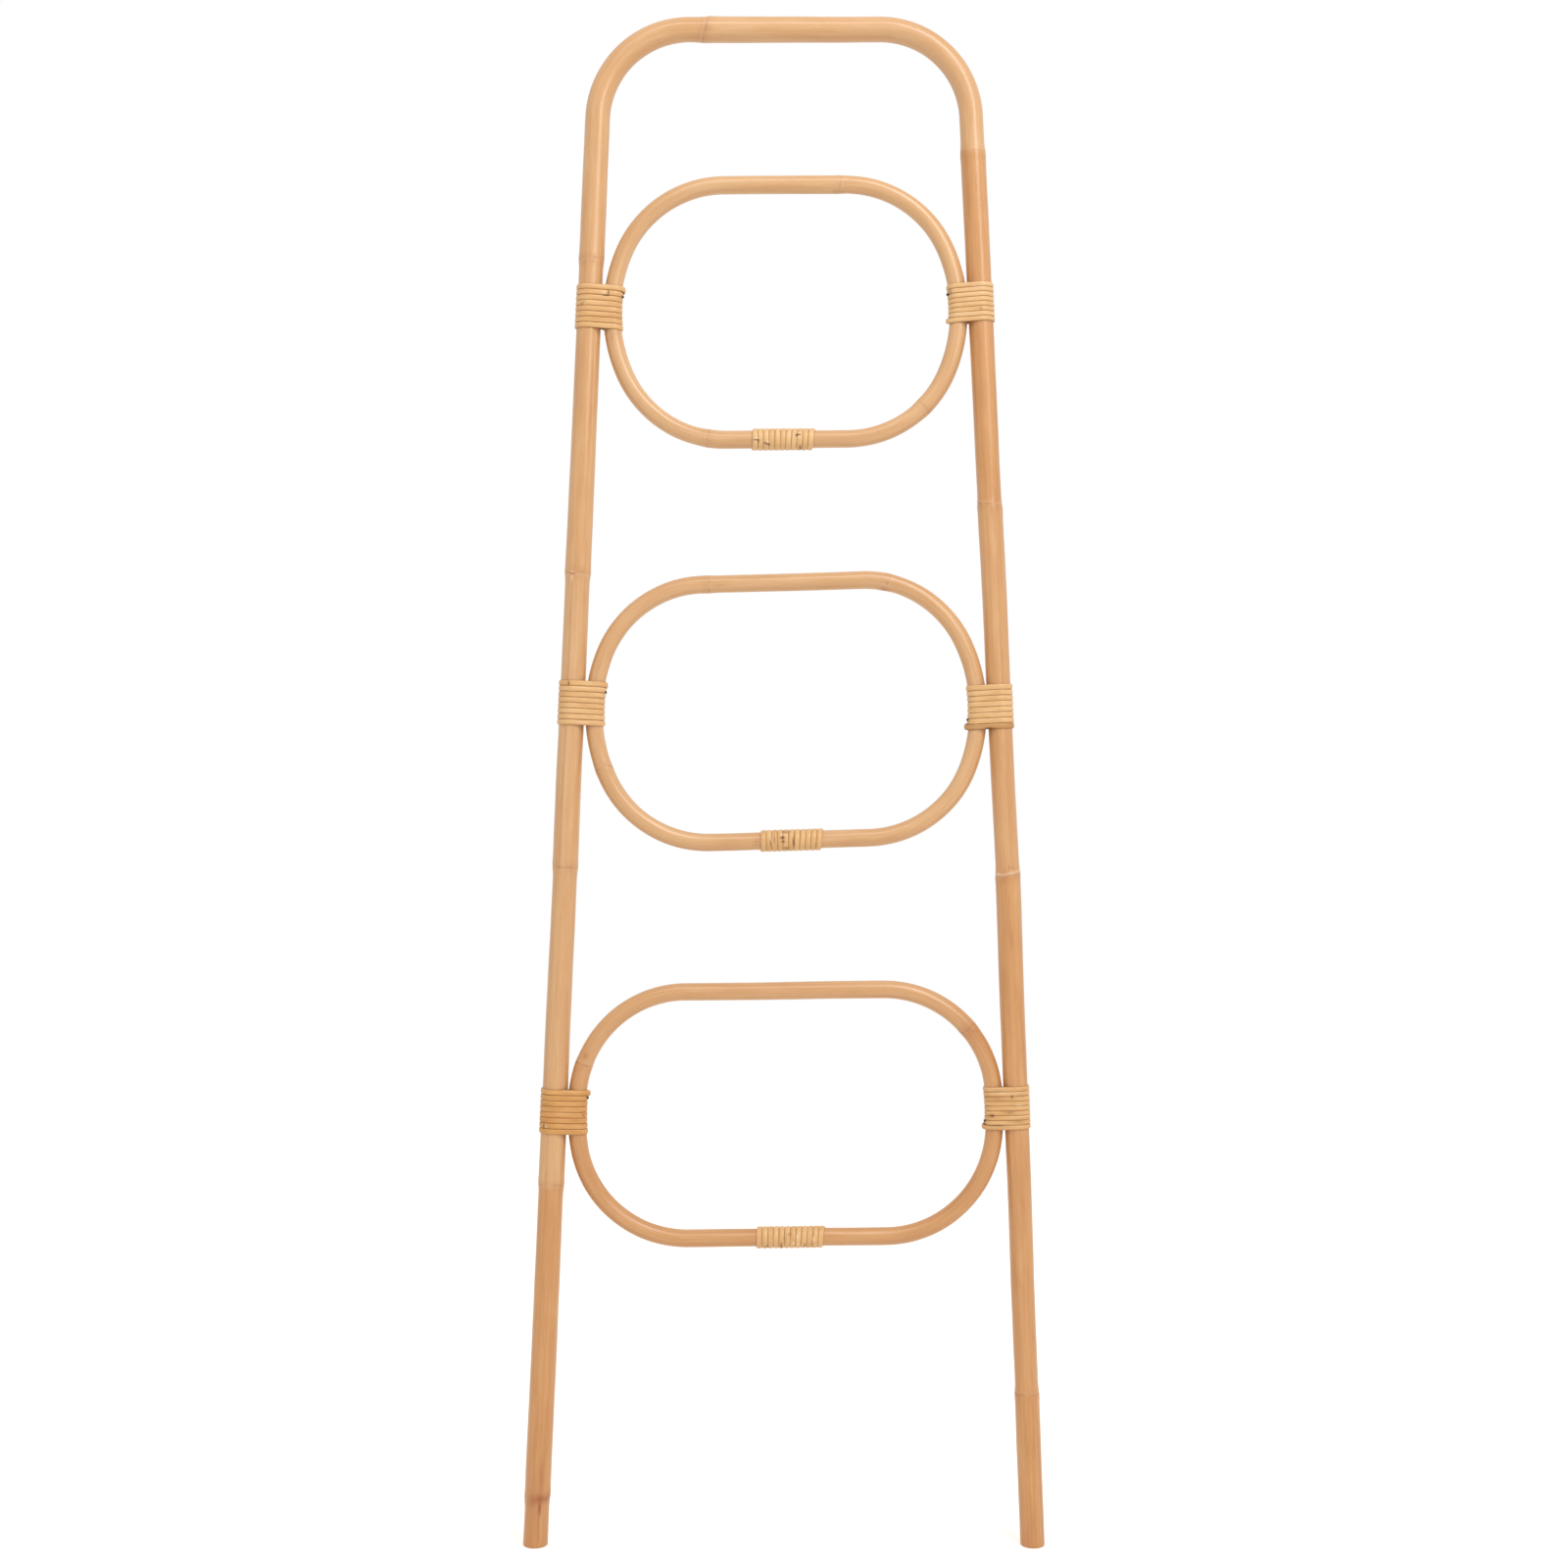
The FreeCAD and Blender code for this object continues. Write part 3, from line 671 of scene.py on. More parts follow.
# Spots: place, turn, half length, half width, brown, painted highlight and sink.
pole_spots = [
    (bud - 0.0006, bud_turn, 0.0010, 0.0032, 0.95, 0.0, 0.0006),
    (bud + 0.0012, bud_turn, 0.0010, 0.0020, 0.0, 0.9, -0.0002),
    (bud - 0.0050, bud_turn, 0.0030, 0.0014, 0.0, 0.7, 0.0002),
    (stain, 0, 0.0130, 0.0022, 0.34, 0.0, 0.0),
    (crack, 3, 0.0020, 0.0008, 0.75, 0.0, 0.0003),
    (crack + 0.001, 20, 0.0020, 0.0008, 0.70, 0.0, 0.0003),
    (foot_streak, -18, 0.0070, 0.0015, 1.0, 0.0, 0.0003),
    (foot_streak + 0.012, -22, 0.0050, 0.0085, 0.46, 0.0, 0.0),
    (foot_streak + 0.034, -19, 0.0240, 0.0030, 0.50, 0.0, 0.0),
    (0.010, 0, 0.0450, 0.0600, 0.14, 0.0, 0.0),
    (pole.length - 0.010, 0, 0.0450, 0.0600, 0.13, 0.0, 0.0),
    (pole.nodes[6] - 0.120, 0, 0.0900, 0.0600, 0.12, 0.0, 0.0),
]
print(len(pole_scars), "scars,", len(pole_grooves), "grooves and", len(pole_spots), "spots on the pole")

# %% Bent pole
pole_ties = [0, pole.length, pole.length / 2]
for hoop in hoops:
    pole_ties += [leg.pole_distance(hoop.binding_height(side)) for side, leg in hoop.legs.items()]
pole_around = 64
foot_rounding = 0.0012
foot_rings = (0, pole.length)
pole_skin = Skin(pole, 0.0, pole_scars, pole_warmth, pole_grooves, pole_spots, pole_ties)
bent_pole = dress_cane("bent_pole", pole_skin, pole_around, -math.tan(left_splay), math.tan(right_splay),
                       foot_rounding, foot_rings)
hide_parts("frame_pole")

# %% [markdown]
# ## The hoops' canes
# The hoops are dressed in the same way. Their two ends meet in a long slanting scarf under the splice, so
# the slope there is the scarf's length over the cane's thickness. Their spots are given by place, across and
# up, and the distance along the cane is looked up.

# %% Marks of the hoops
hoop_scars = {
    "upper": [(0.0010, 20, 0.45, 0.15, 0.1), (0.0020, 90, 0.36, 0.20, 0.1), (0.0010, -30, 0.40, 0.15, 0.1)],
    "middle": [(0.0014, 60, 0.35, 0.40, 0.1), (0.0010, 0, 0.35, 0.12, 0.1), (0.0010, 40, 0.50, 0.15, 0.1)],
    "lower": [(0.0012, 30, 0.35, 0.35, 0.1), (0.0010, -40, 0.55, 0.22, 0.1)],
}
hoop_warmth = {
    "upper": [0.15, 0.22, 0.10, 0.15],
    "middle": [0.25, 0.15, 0.28, 0.22],
    "lower": [0.75, 0.45, 0.80],
}
hoop_spots = {
    "upper": [(-0.0155, 1.5178, -60, 0.0016, 0.0009, 0.60), (-0.1834, 1.3466, 10, 0.0060, 0.0050, 0.24),
              (-0.1810, 1.3420, -10, 0.0034, 0.0012, 0.34)],
    "middle": [(0.1143, 1.0762, 0, 0.0300, 0.0060, 0.14), (-0.1987, 0.8680, 20, 0.0022, 0.0012, 0.55),
               (-0.0710, 1.0675, 15, 0.0060, 0.0007, 0.40), (-0.0790, 1.0668, -10, 0.0040, 0.0006, 0.35),
               (-0.0302, 0.7813, -5, 0.0022, 0.0050, 0.45)],
    "lower": [(-0.2216, 0.5452, -10, 0.0034, 0.0030, 0.50), (-0.2161, 0.5321, 20, 0.0016, 0.0014, 0.50),
              (0.2113, 0.5768, 5, 0.0140, 0.0050, 0.26)],
}
print(sum(len(spots) for spots in hoop_spots.values()), "spots on the hoops")

# %% Hoop canes
scarf_length = 0.056
scarf_slope = -scarf_length / hoop_diameter
hoop_around = 48
hoop_seed = 11.0
hoop_canes = {}
for number, hoop in enumerate(hoops):
    cane = hoop.cane
    ties = [0, cane.length, hoop.side_middle(LEFT), hoop.side_middle(RIGHT)]
    spots = [(cane.nearest(across, up), *spot, 0, 0) for across, up, *spot in hoop_spots[hoop.name]]
    skin = Skin(cane, hoop_seed + number, hoop_scars[hoop.name], hoop_warmth[hoop.name],
                spots=spots, ties=ties)
    piece = dress_cane(f"{hoop.name}_hoop_cane", skin, hoop_around, scarf_slope, scarf_slope)
    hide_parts(f"{hoop.name}_hoop")
    hoop_canes[hoop.name] = piece

# %% [markdown]
# ## A strip of peel
# Peel is the outer skin split off a cane, so a strip is flat below and domed above. A strip is rolled from
# a sheet too: the columns go round the half-round section, the rows follow the path of the winding. At each
# station the path knows its point, the way out from the cane and how brown the strip is there.

# %% Half-round strip along a path
peel_overlap = 0.0002
peel_height = 0.0021
peel_sink = 0.00035
dome_columns = 13
dome_roundness = 0.74
flat_share = 0.25
width_wave, width_swing = 0.03, 0.01
height_wave, height_swing = 0.018, 0.03
width_layer, height_layer = 2, 5
stain_warmth = 2
section = []
for column in range(dome_columns):
    angle = math.pi * column / (dome_columns - 1)
    wide = math.copysign(abs(math.cos(angle)) ** dome_roundness, math.cos(angle)) / 2
    section.append((wide, max(math.sin(angle), 0) ** dome_roundness))
section += [(-flat_share, 0), (flat_share, 0)]
print("a strip's section has", len(section), "corners")


def lay_strip(name, path, pitch, upward, marks, warmth, seed):
    """Peel along a path of (point, outward, brown): marks are spots near the middle of the winding."""
    count = len(path)
    middle = sum((station[0] for station in path), Vector()) / count
    travelled = [0]
    for before, after in zip(path, path[1:]):
        travelled.append(travelled[-1] + (after[0] - before[0]).length)

    def place(row, column):
        point, outward, stain = path[row]
        tangent = (path[min(row + 1, count - 1)][0] - path[max(row - 1, 0)][0]).normalized()
        across = outward.cross(tangent).normalized()
        if across.dot(upward) < 0:
            across.negate()
        wide, high = section[column]
        wider = noise.noise(Vector((travelled[row] / width_wave, seed, width_layer)))
        higher = noise.noise(Vector((travelled[row] / height_wave, seed, height_layer)))
        width = (pitch + peel_overlap) * (1 + width_swing * wider)
        height = peel_height * (1 + height_swing * higher)
        place_on = point + across * (wide * width) + outward * (high * height - peel_sink)
        brown = stain
        pale = 0
        if outward.y < 0:
            # Brown marks are knots and cracks; pale marks are painted highlights on their raised edges.
            for mark_x, mark_z, half_x, half_z, tint, light in marks:
                from_middle = place_on - middle
                spot = bell((from_middle.x - mark_x) / half_x) * bell((from_middle.z - mark_z) / half_z)
                brown += tint * spot
                pale += light * spot
        straight = Vector((wide * peel_pitch, high * height, travelled[row] + seed))
        return place_on, straight, min(warmth + stain_warmth * stain, 1), min(brown, 1), min(pale, 1)

    return roll_sheet(name, count, len(section), place)


# %% [markdown]
# ## The side windings
# A winding holds a hoop to a leg. Seen down the leg, a turn is a belt round two wheels: it hugs the leg,
# runs straight to the hoop, hugs the hoop and comes straight back behind, where it moves on by one pitch.
# The left ones climb and the right ones go down. The end of the last turn is drawn back over the turn before
# it and stands off the hoop a little there: at the top of a left winding, at the bottom of a right one.

# %% One turn
peel_rise = 0.0002
leg_steps, across_steps, hoop_steps = 34, 36, 24
back_leg_steps, back_across_steps, back_hoop_steps = 16, 10, 14


class Belt:
    """One turn round leg and hoop at one height up the leg. Angles start on the hoop side, front first."""

    def __init__(self, hoop, leg, turn, pitch, shift):
        middle = hoop.binding_height(leg.side) + shift
        self.height = middle - leg.side * (turn + 0.5 - hoop.turns[leg.side] / 2) * pitch
        self.leg = leg
        self.leg_bend = leg.widest(self.height, peel_pitch / 2) + peel_rise
        self.hoop_bend = hoop.widest(leg.side) + peel_rise
        self.apart = hoop.distance(leg.side, self.height)
        self.meet = math.acos((self.leg_bend - self.hoop_bend) / self.apart)

    def station(self, bend, from_leg, angle):
        outward = self.leg.inward * math.cos(angle) + FRONT * math.sin(angle)
        point = self.leg.foot + self.leg.up * self.height + self.leg.inward * from_leg + outward * bend
        return point, outward

    def on_leg(self, angle):
        return self.station(self.leg_bend, 0, angle)

    def on_hoop(self, angle):
        return self.station(self.hoop_bend, self.apart, angle)

    def across(self, angle, share):
        """Straight stretch from the leg to the hoop, in front or behind."""
        return blend(self.on_leg(angle), self.on_hoop(angle), share)


def blend(here, there, share):
    return here[0].lerp(there[0], share), here[1].lerp(there[1], share).normalized()


def shares(steps):
    return [step / steps for step in range(steps)]


def front_of_turn(belt):
    """Stations from the outer side of the leg, over the front, to the inner side of the hoop."""
    meet = belt.meet
    stations = [belt.on_leg(math.pi + (meet - math.pi) * share) for share in shares(leg_steps)]
    stations += [belt.across(meet, share) for share in shares(across_steps)]
    return stations + [belt.on_hoop(meet * (1 - share)) for share in shares(hoop_steps)]


def back_of_turn(belt, following):
    """Stations back to the outer side of the leg, moving on to the following turn."""
    stations = [belt.on_hoop(-belt.meet * share) for share in shares(back_hoop_steps)]
    for share in shares(back_across_steps):
        here = belt.across(-belt.meet, 1 - share)
        there = following.across(-following.meet, 1 - share)
        stations.append(blend(here, there, ease(share)))
    turn = math.pi - following.meet
    return stations + [following.on_leg(-following.meet - turn * share) for share in shares(back_leg_steps)]


print("a turn has", leg_steps + across_steps + hoop_steps, "stations in front")

# %% Paths of the side windings
turn_sway = 0.00006
sway_rows = 90
sway_layer = 1
end_shift = 0.0018
end_reach = 0.0055
end_turn = 1.1
start_turn = 0.9


def side_path(belts, leg, seed, end_lift, last_turn_brown):
    """Stations of one side winding, from the back of the leg to the back of the hoop."""
    stations = [belts[0].on_leg(math.pi + start_turn * (1 - share)) for share in shares(back_leg_steps)]
    for belt, following in zip(belts, belts[1:]):
        stations += front_of_turn(belt) + back_of_turn(belt, following)
    last_turn = len(stations)
    stations += front_of_turn(belts[-1])
    inner = len(stations)
    stations += [belts[-1].on_hoop(-end_turn * share) for share in shares(back_hoop_steps) + [1]]
    path = []
    for row, (point, outward) in enumerate(stations):
        moved = turn_sway * noise.noise(Vector((row / sway_rows, seed, sway_layer)))
        lift = 0
        brown = 0
        if row >= last_turn:
            ahead = math.copysign((point - stations[inner][0]).length, row - inner)
            moved += leg.side * end_shift * ease(ahead / (2 * end_reach) + 0.5)
            lift = end_lift * bell(ahead / end_reach)
            brown = last_turn_brown
        path.append((point + leg.up * moved + outward * lift, outward, brown))
    return path


print("the last turn moves", end_shift, "m to its tucked end")

# %% [markdown]
# ## Marks on the side windings
# The photograph shows small knots and cracks on the strips, with painted highlights on their raised edges.
# Each mark is given from the middle of its winding: across, up, half width, half height, brown and pale, the
# pale being a painted highlight. Three of the windings were pulled tighter than the rest, and four have
# settled a little up or down the leg. Each has a dark tack on the hoop's inner side, counted in turns from
# its end, and another behind the leg.

# %% Marks of the side windings
side_marks = {
    "upper_left": [(0.0109, 0.0148, 0.0010, 0.0026, 1.0, 0.0), (0.0064, 0.0150, 0.0028, 0.0014, 0.0, 0.8),
                   (0.0080, 0.0116, 0.0034, 0.0009, 1.0, 0.0), (-0.0185, 0.0022, 0.0012, 0.0016, 0.5, 0.0),
                   (-0.0160, 0.0036, 0.0012, 0.0014, 0.4, 0.0), (-0.0150, 0.0026, 0.0010, 0.0012, 0.0, 0.6)],
    "upper_right": [(0.0100, -0.0080, 0.0010, 0.0018, 0.5, 0.0), (-0.0235, 0.0120, 0.0020, 0.0030, 0.5, 0.0),
                    (0.0040, 0.0170, 0.0050, 0.0010, 0.0, 0.5), (0.0120, 0.0176, 0.0036, 0.0010, 0.0, 0.5)],
    "middle_left": [(-0.0134, 0.0218, 0.0010, 0.0024, 1.0, 0.0), (0.0000, -0.0218, 0.0090, 0.0012, 0.0, 0.5)],
    "middle_right": [(-0.0015, -0.0240, 0.0050, 0.0010, 0.8, 0.0),
                     (0.0100, 0.0100, 0.0030, 0.0012, 0.0, 0.4)],
    "lower_left": [(-0.0215, -0.0153, 0.0010, 0.0026, 0.8, 0.0), (-0.0190, -0.0153, 0.0014, 0.0016, 0.0, 0.7),
                   (0.0218, -0.0038, 0.0014, 0.0012, 0.7, 0.0)],
    "lower_right": [(0.0044, 0.0130, 0.0014, 0.0022, 0.7, 0.0), (-0.0170, -0.0082, 0.0022, 0.0018, 0.9, 0.0),
                    (0.0027, -0.0044, 0.0050, 0.0014, 0.5, 0.0), (0.0120, 0.0040, 0.0040, 0.0014, 0.0, 0.6),
                    (-0.0060, 0.0170, 0.0050, 0.0013, 0.0, 0.5), (0.0150, 0.0160, 0.0060, 0.0024, 0.22, 0.0),
                    (-0.0110, 0.0110, 0.0080, 0.0022, 0.30, 0.0),
                    (0.0130, -0.0140, 0.0060, 0.0022, 0.22, 0.0),
                    (-0.0120, -0.0190, 0.0090, 0.0014, 0.50, 0.0),
                    (-0.0100, 0.0200, 0.0070, 0.0022, 0.20, 0.0)],
}
side_warmth = {"upper_left": 0.42, "upper_right": 0.20, "middle_left": 0.36, "middle_right": 0.20,
               "lower_left": 0.95, "lower_right": 0.45}
tight_pitches = {"upper_left": 0.0061, "upper_right": 0.0054, "lower_right": 0.0053}
settled = {"upper_left": -0.0016, "upper_right": -0.0034, "lower_left": 0.0021, "lower_right": 0.0028}
end_lifts = {"upper_left": 0.0018, "upper_right": 0.0024, "middle_left": 0.0009, "middle_right": 0.0028,
             "lower_left": 0.0024, "lower_right": 0.0026}
last_turn_browns = {"middle_right": 0.28, "lower_right": 0.05}
print(sum(len(marks) for marks in side_marks.values()), "marks on the side windings")

# %% Side windings
tack_turns = {"upper_right": 5.5, "lower_left": 0.9}
usual_tack_turn = 1.4
tack_angle = 0.30
start_tack_row = 1
side_seed = 21.0
side_windings = []
tack_places = {}
for number, hoop in enumerate(hoops):
    tack_places[hoop.name] = []
    for side, leg in hoop.legs.items():
        place_name = f"{hoop.name}_{SIDE_NAMES[side]}"
        pitch = tight_pitches.get(place_name, peel_pitch)
        seed = side_seed + 2 * number + side
        shift = settled.get(place_name, 0)
        belts = [Belt(hoop, leg, turn, pitch, shift) for turn in range(hoop.turns[side])]
        path = side_path(belts, leg, seed, end_lifts[place_name], last_turn_browns.get(place_name, 0))
        strip = lay_strip(f"{place_name}_peel", path, pitch, leg.up, side_marks[place_name],
                          side_warmth[place_name], seed)
        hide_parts(f"{place_name}_binding")
        side_windings.append(strip)
        tack_turn = hoop.turns[side] - 1 - tack_turns.get(place_name, usual_tack_turn)
        tack_belt = Belt(hoop, leg, tack_turn, pitch, shift)
        tack_places[hoop.name] += [path[start_tack_row][:2], tack_belt.on_hoop(tack_angle)]

# %% [markdown]
# ## The splices
# A splice covers the scarf of a hoop. It is one helix, so its path is a circle that moves along the
# cane, with both ends tacked down behind. The first turns stand upright in front and move on behind, and the
# last ones lean.

# %% Marks of the splices
# Marks: across, up, half width, half height, brown and pale; the pale ones are painted highlights beside the
# node dashes.
splice_marks = {
    "upper": [(-0.0297, -0.0022, 0.0032, 0.0008, 1.0, 0.0), (-0.0290, -0.0003, 0.0018, 0.0010, 0.0, 1.0),
              (-0.0270, -0.0040, 0.0006, 0.0022, 0.8, 0.0), (-0.0194, -0.0056, 0.0018, 0.0009, 1.0, 0.0),
              (-0.0164, -0.0070, 0.0020, 0.0009, 1.0, 0.0), (-0.0172, -0.0044, 0.0018, 0.0010, 0.0, 1.0),
              (0.0148, 0.0028, 0.0011, 0.0018, 1.0, 0.0), (0.0176, 0.0036, 0.0022, 0.0008, 1.0, 0.0),
              (0.0172, 0.0008, 0.0020, 0.0014, 0.0, 0.9), (0.0178, 0.0060, 0.0016, 0.0012, 0.0, 0.8),
              (0.0188, -0.0100, 0.0011, 0.0022, 1.0, 0.0)],
    "middle": [(-0.0098, 0.0030, 0.0026, 0.0016, 1.0, 0.0), (-0.0089, -0.0014, 0.0022, 0.0012, 0.9, 0.0),
               (-0.0097, 0.0066, 0.0018, 0.0014, 0.0, 0.9), (-0.0062, 0.0092, 0.0030, 0.0016, 0.6, 0.0),
               (-0.0062, -0.0088, 0.0034, 0.0016, 0.6, 0.0), (0.0022, -0.0020, 0.0009, 0.0066, 1.0, 0.0),
               (-0.0231, -0.0030, 0.0008, 0.0040, 0.8, 0.0), (-0.0188, 0.0010, 0.0008, 0.0050, 0.7, 0.0),
               (-0.0220, 0.0000, 0.0016, 0.0040, 0.0, 0.5)],
    "lower": [(-0.0098, -0.0080, 0.0010, 0.0040, 1.0, 0.0), (0.0036, -0.0044, 0.0014, 0.0014, 0.0, 1.0),
              (0.0080, 0.0026, 0.0014, 0.0016, 0.0, 1.0), (0.0092, -0.0060, 0.0012, 0.0014, 0.0, 0.9),
              (-0.0010, 0.0054, 0.0026, 0.0014, 0.35, 0.0), (-0.0060, 0.0010, 0.0022, 0.0050, 0.20, 0.0),
              (0.0260, 0.0000, 0.0018, 0.0030, 0.0, 0.8), (0.0160, -0.0070, 0.0010, 0.0026, 0.7, 0.0),
              (-0.0260, -0.0088, 0.0030, 0.0012, 0.6, 0.0)],
}
splice_warmth = {"upper": 0.10, "middle": 0.30, "lower": 0.32}
print(sum(len(marks) for marks in splice_marks.values()), "marks on the splices")

# %% Splices
splice_turn_steps = 110
splice_sway = 0.0001
splice_sway_rate = 1.3
splice_sway_layer = 4
splice_rise = 0.0001
upright_start, upright_fall = 1.2, 1.4
splice_tack_row = 4
splice_seed = 41.0
splices = []


def splice_path(hoop, seed):
    """Stations of a helix that starts and ends behind the hoop."""
    bend = hoop_radius + splice_rise + peel_sink
    steps = hoop.scarf_turns * splice_turn_steps
    path = []
    for step in range(steps + 1):
        turns = step / splice_turn_steps
        angle = 2 * math.pi * turns
        outward = FRONT * -math.cos(angle) - hoop.upward * math.sin(angle)
        sway = splice_sway * noise.noise(Vector((turns * splice_sway_rate, seed, splice_sway_layer)))
        upright = ease(upright_start - upright_fall * step / steps)
        along = (turns + upright * math.sin(angle) / (2 * math.pi) - hoop.scarf_turns / 2) * peel_pitch + sway
        path.append((hoop.scarf + outward * bend + hoop.right * along, outward, 0))
    return path


for number, hoop in enumerate(hoops):
    seed = splice_seed + number
    path = splice_path(hoop, seed)
    strip = lay_strip(f"{hoop.name}_splice_peel", path, peel_pitch, hoop.right, splice_marks[hoop.name],
                      splice_warmth[hoop.name], seed)
    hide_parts(f"{hoop.name}_splice_binding")
    splices.append(strip)
    tack_places[hoop.name] += [path[splice_tack_row][:2], path[-1 - splice_tack_row][:2]]

# %% [markdown]
# ## The tacks
# A small blued tack holds each end of a peel. Its outline, from the point up the shank and over the domed
# head, is a few vertices, and a full spin makes the solid. Each tack is turned to point into the cane.

# %% Tacks
tack_length = 0.011
tack_point = 0.002
tack_shank = 0.00065
tack_head = 0.0017
tack_head_rim = 0.0003
tack_dome = 0.0009
dome_shoulder, dome_rise = 0.7, 0.75
tack_segments = 20
head_above_peel = 0.0028
tack_outline = [(0, -tack_length), (tack_shank, tack_point - tack_length), (tack_shank, 0)]
tack_outline += [(tack_head, 0), (tack_head, tack_head_rim)]
tack_outline += [(dome_shoulder * tack_head, dome_rise * tack_dome), (0, tack_dome)]
tack_pieces = []
for hoop in hoops:
    bm = bmesh.new()
    for point, outward in tack_places[hoop.name]:
        verts = [bm.verts.new((radius, 0, height)) for radius, height in tack_outline]
        edges = [bm.edges.new(pair) for pair in zip(verts, verts[1:])]
        bmesh.ops.spin(bm, geom=verts + edges, cent=(0, 0, 0), axis=UP, angle=2 * math.pi,
                       steps=tack_segments, use_merge=True)
        tack = {vert for vert in bm.verts if not vert.tag}
        turn = UP.rotation_difference(outward).to_matrix()
        for vert in tack:
            vert.co = turn @ vert.co + point + outward * (head_above_peel - peel_sink)
            vert.tag = True
    bmesh.ops.remove_doubles(bm, verts=bm.verts, dist=weld_distance)
    bmesh.ops.recalc_face_normals(bm, faces=bm.faces)
    piece = finish_mesh(f"{hoop.name}_tacks", bm)
    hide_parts(f"{hoop.name}_binding_tacks")
    tack_pieces.append(piece)

# %% [markdown]
# ## Writing a finish as sums
# A finish is a network of nodes, but most of it is plain arithmetic on values. A small class wraps a socket
# so that two values can be added or multiplied in one line, which adds the Math node. Every other node comes
# from one method that takes its type, its settings and what goes into its sockets.

# %% Values
class Flow:
    """A value on its way through a finish."""

    def __init__(self, finish, socket):
        self.finish = finish
        self.socket = socket

    def combine(self, operation, first, second):
        return self.finish.add("ShaderNodeMath", {"operation": operation}, {0: first, 1: second})

    def __add__(self, other):
        return self.combine("ADD", self, other)

    def __radd__(self, other):
        return self.combine("ADD", other, self)

    def __mul__(self, other):
        return self.combine("MULTIPLY", self, other)

    def __rmul__(self, other):
        return self.combine("MULTIPLY", other, self)

    def above(self, other):
        return self.combine("MAXIMUM", self, other)

    def size(self):
        return self.combine("ABSOLUTE", self, 0)


print("a flow adds one Math node for each sum or product")

# %% Nodes of a finish
bump_strength = 0.3


class Finish:
    """The nodes of one material or of the world."""

    def __init__(self, owner):
        owner.use_nodes = True
        self.owner = owner
        self.nodes = owner.node_tree.nodes
        self.links = owner.node_tree.links
        self.nodes.clear()

    def add(self, kind, settings=None, sockets=None, out=0):
        """New node: settings first, then values or flows into its sockets. Gives the flow of one output."""
        node = self.nodes.new(kind)
        for key, value in (settings or {}).items():
            if key == "stops":
                ramp = node.color_ramp.elements
                while len(ramp) < len(value):
                    ramp.new(1)
                for element, (position, colour) in zip(ramp, value):
                    element.position = position
                    element.color = colour
            else:
                setattr(node, key, value)
        for key, value in (sockets or {}).items():
            if isinstance(value, Flow):
                self.links.new(value.socket, node.inputs[key])
            else:
                node.inputs[key].default_value = value
        return Flow(self, node.outputs[out]) if node.outputs else None

    def mix(self, share, first, second):
        """Mix of two colours."""
        return self.add("ShaderNodeMix", {"data_type": "RGBA"}, {0: share, 6: first, 7: second}, 2)

    def attribute(self, name, out="Fac"):
        return self.add("ShaderNodeAttribute", {"attribute_name": name}, {}, out)

    def streaks(self, place, across, along, detail):
        """Noise drawn out along the cane: sizes of a streak across and along."""
        stretch = (1 / across, 1 / across, 1 / along)
        stretched = self.add("ShaderNodeMapping", {}, {"Vector": place, "Scale": stretch})
        return self.add("ShaderNodeTexNoise", {}, {"Vector": stretched, "Scale": 1, "Detail": detail}, "Fac")

    def ramp(self, value, stops):
        return self.add("ShaderNodeValToRGB", {"stops": stops}, {"Fac": value}, "Color")

    def range(self, value, low, high):
        """Share from 0 to 1 of a value between two limits."""
        return self.add("ShaderNodeMapRange", {}, {"Value": value, "From Min": low, "From Max": high})

    def close(self, colour, rough, height, depth, constants):
        """Ends a material: a surface with a bump of a depth and the sockets that are the same all over."""
        relief = {"Strength": bump_strength, "Distance": depth, "Height": height}
        bump = self.add("ShaderNodeBump", {}, relief)
        skin = {"Base Color": colour, "Roughness": rough, "Normal": bump, **constants}
        surface = self.add("ShaderNodeBsdfPrincipled", {}, skin)
        self.add("ShaderNodeOutputMaterial", {}, {"Surface": surface})
        return self.owner


print("canes, peels and steel have bumps of strength", bump_strength)

# %% Shades
def shade(red, green, blue):
    """Linear colour of a shade as a screen shows it, 0 to 255, by the standard curve of screens."""
    linear = []
    for level in (red, green, blue):
        level /= 255
        linear.append(level / 12.92 if level <= 0.04045 else ((level + 0.055) / 1.055) ** 2.4)
    return (*linear, 1)


print("a screen's mid grey is", [round(level, 3) for level in shade(128, 128, 128)])

# %% [markdown]
# ## Rattan
# Finished rattan is straw coloured, with fine fibres and longer streaks along the cane, and a satin
# surface. The streaks are noise on the straight place of each point, stretched along the cane, so they run
# round the bends without a seam. Warmth makes an internode more orange. Brown is for scars and stains, and
# for painted shade in grooves and on the rims of the feet. Pale is a painted highlight on ridges and lips.
# The same recipe serves pole and hoops, with slightly darker plain shades for the hoops.

# %% Rattan finish
streak_across, streak_along = 0.0034, 0.160
fibre_across, fibre_along = 0.0006, 0.020
cloud_across, cloud_along = 0.014, 0.080
fleck_across, fleck_along = 0.0007, 0.004
streak_share, fibre_share, cloud_share = 0.35, 0.3, 0.35
streak_height, fibre_height = 0.4, 0.6
fibre_rough, brown_rough = 0.12, 0.2
fleck_limits = (0.72, 0.80)
fleck_strength = 0.30
highlight_strength = 0.8
brown_strength = 0.85
tone_stops = (0.30, 0.50, 0.70)
rattan_bump = 0.00008
rattan_roughness = 0.26
rattan_gloss = {"Specular IOR Level": 0.8}
node_brown = shade(150, 68, 20)
# Pale marks are painted highlights: on node ridges, on the lips of grooves and the bud, and beside knots on
# the peel.
ridge_highlight = shade(246, 222, 186)


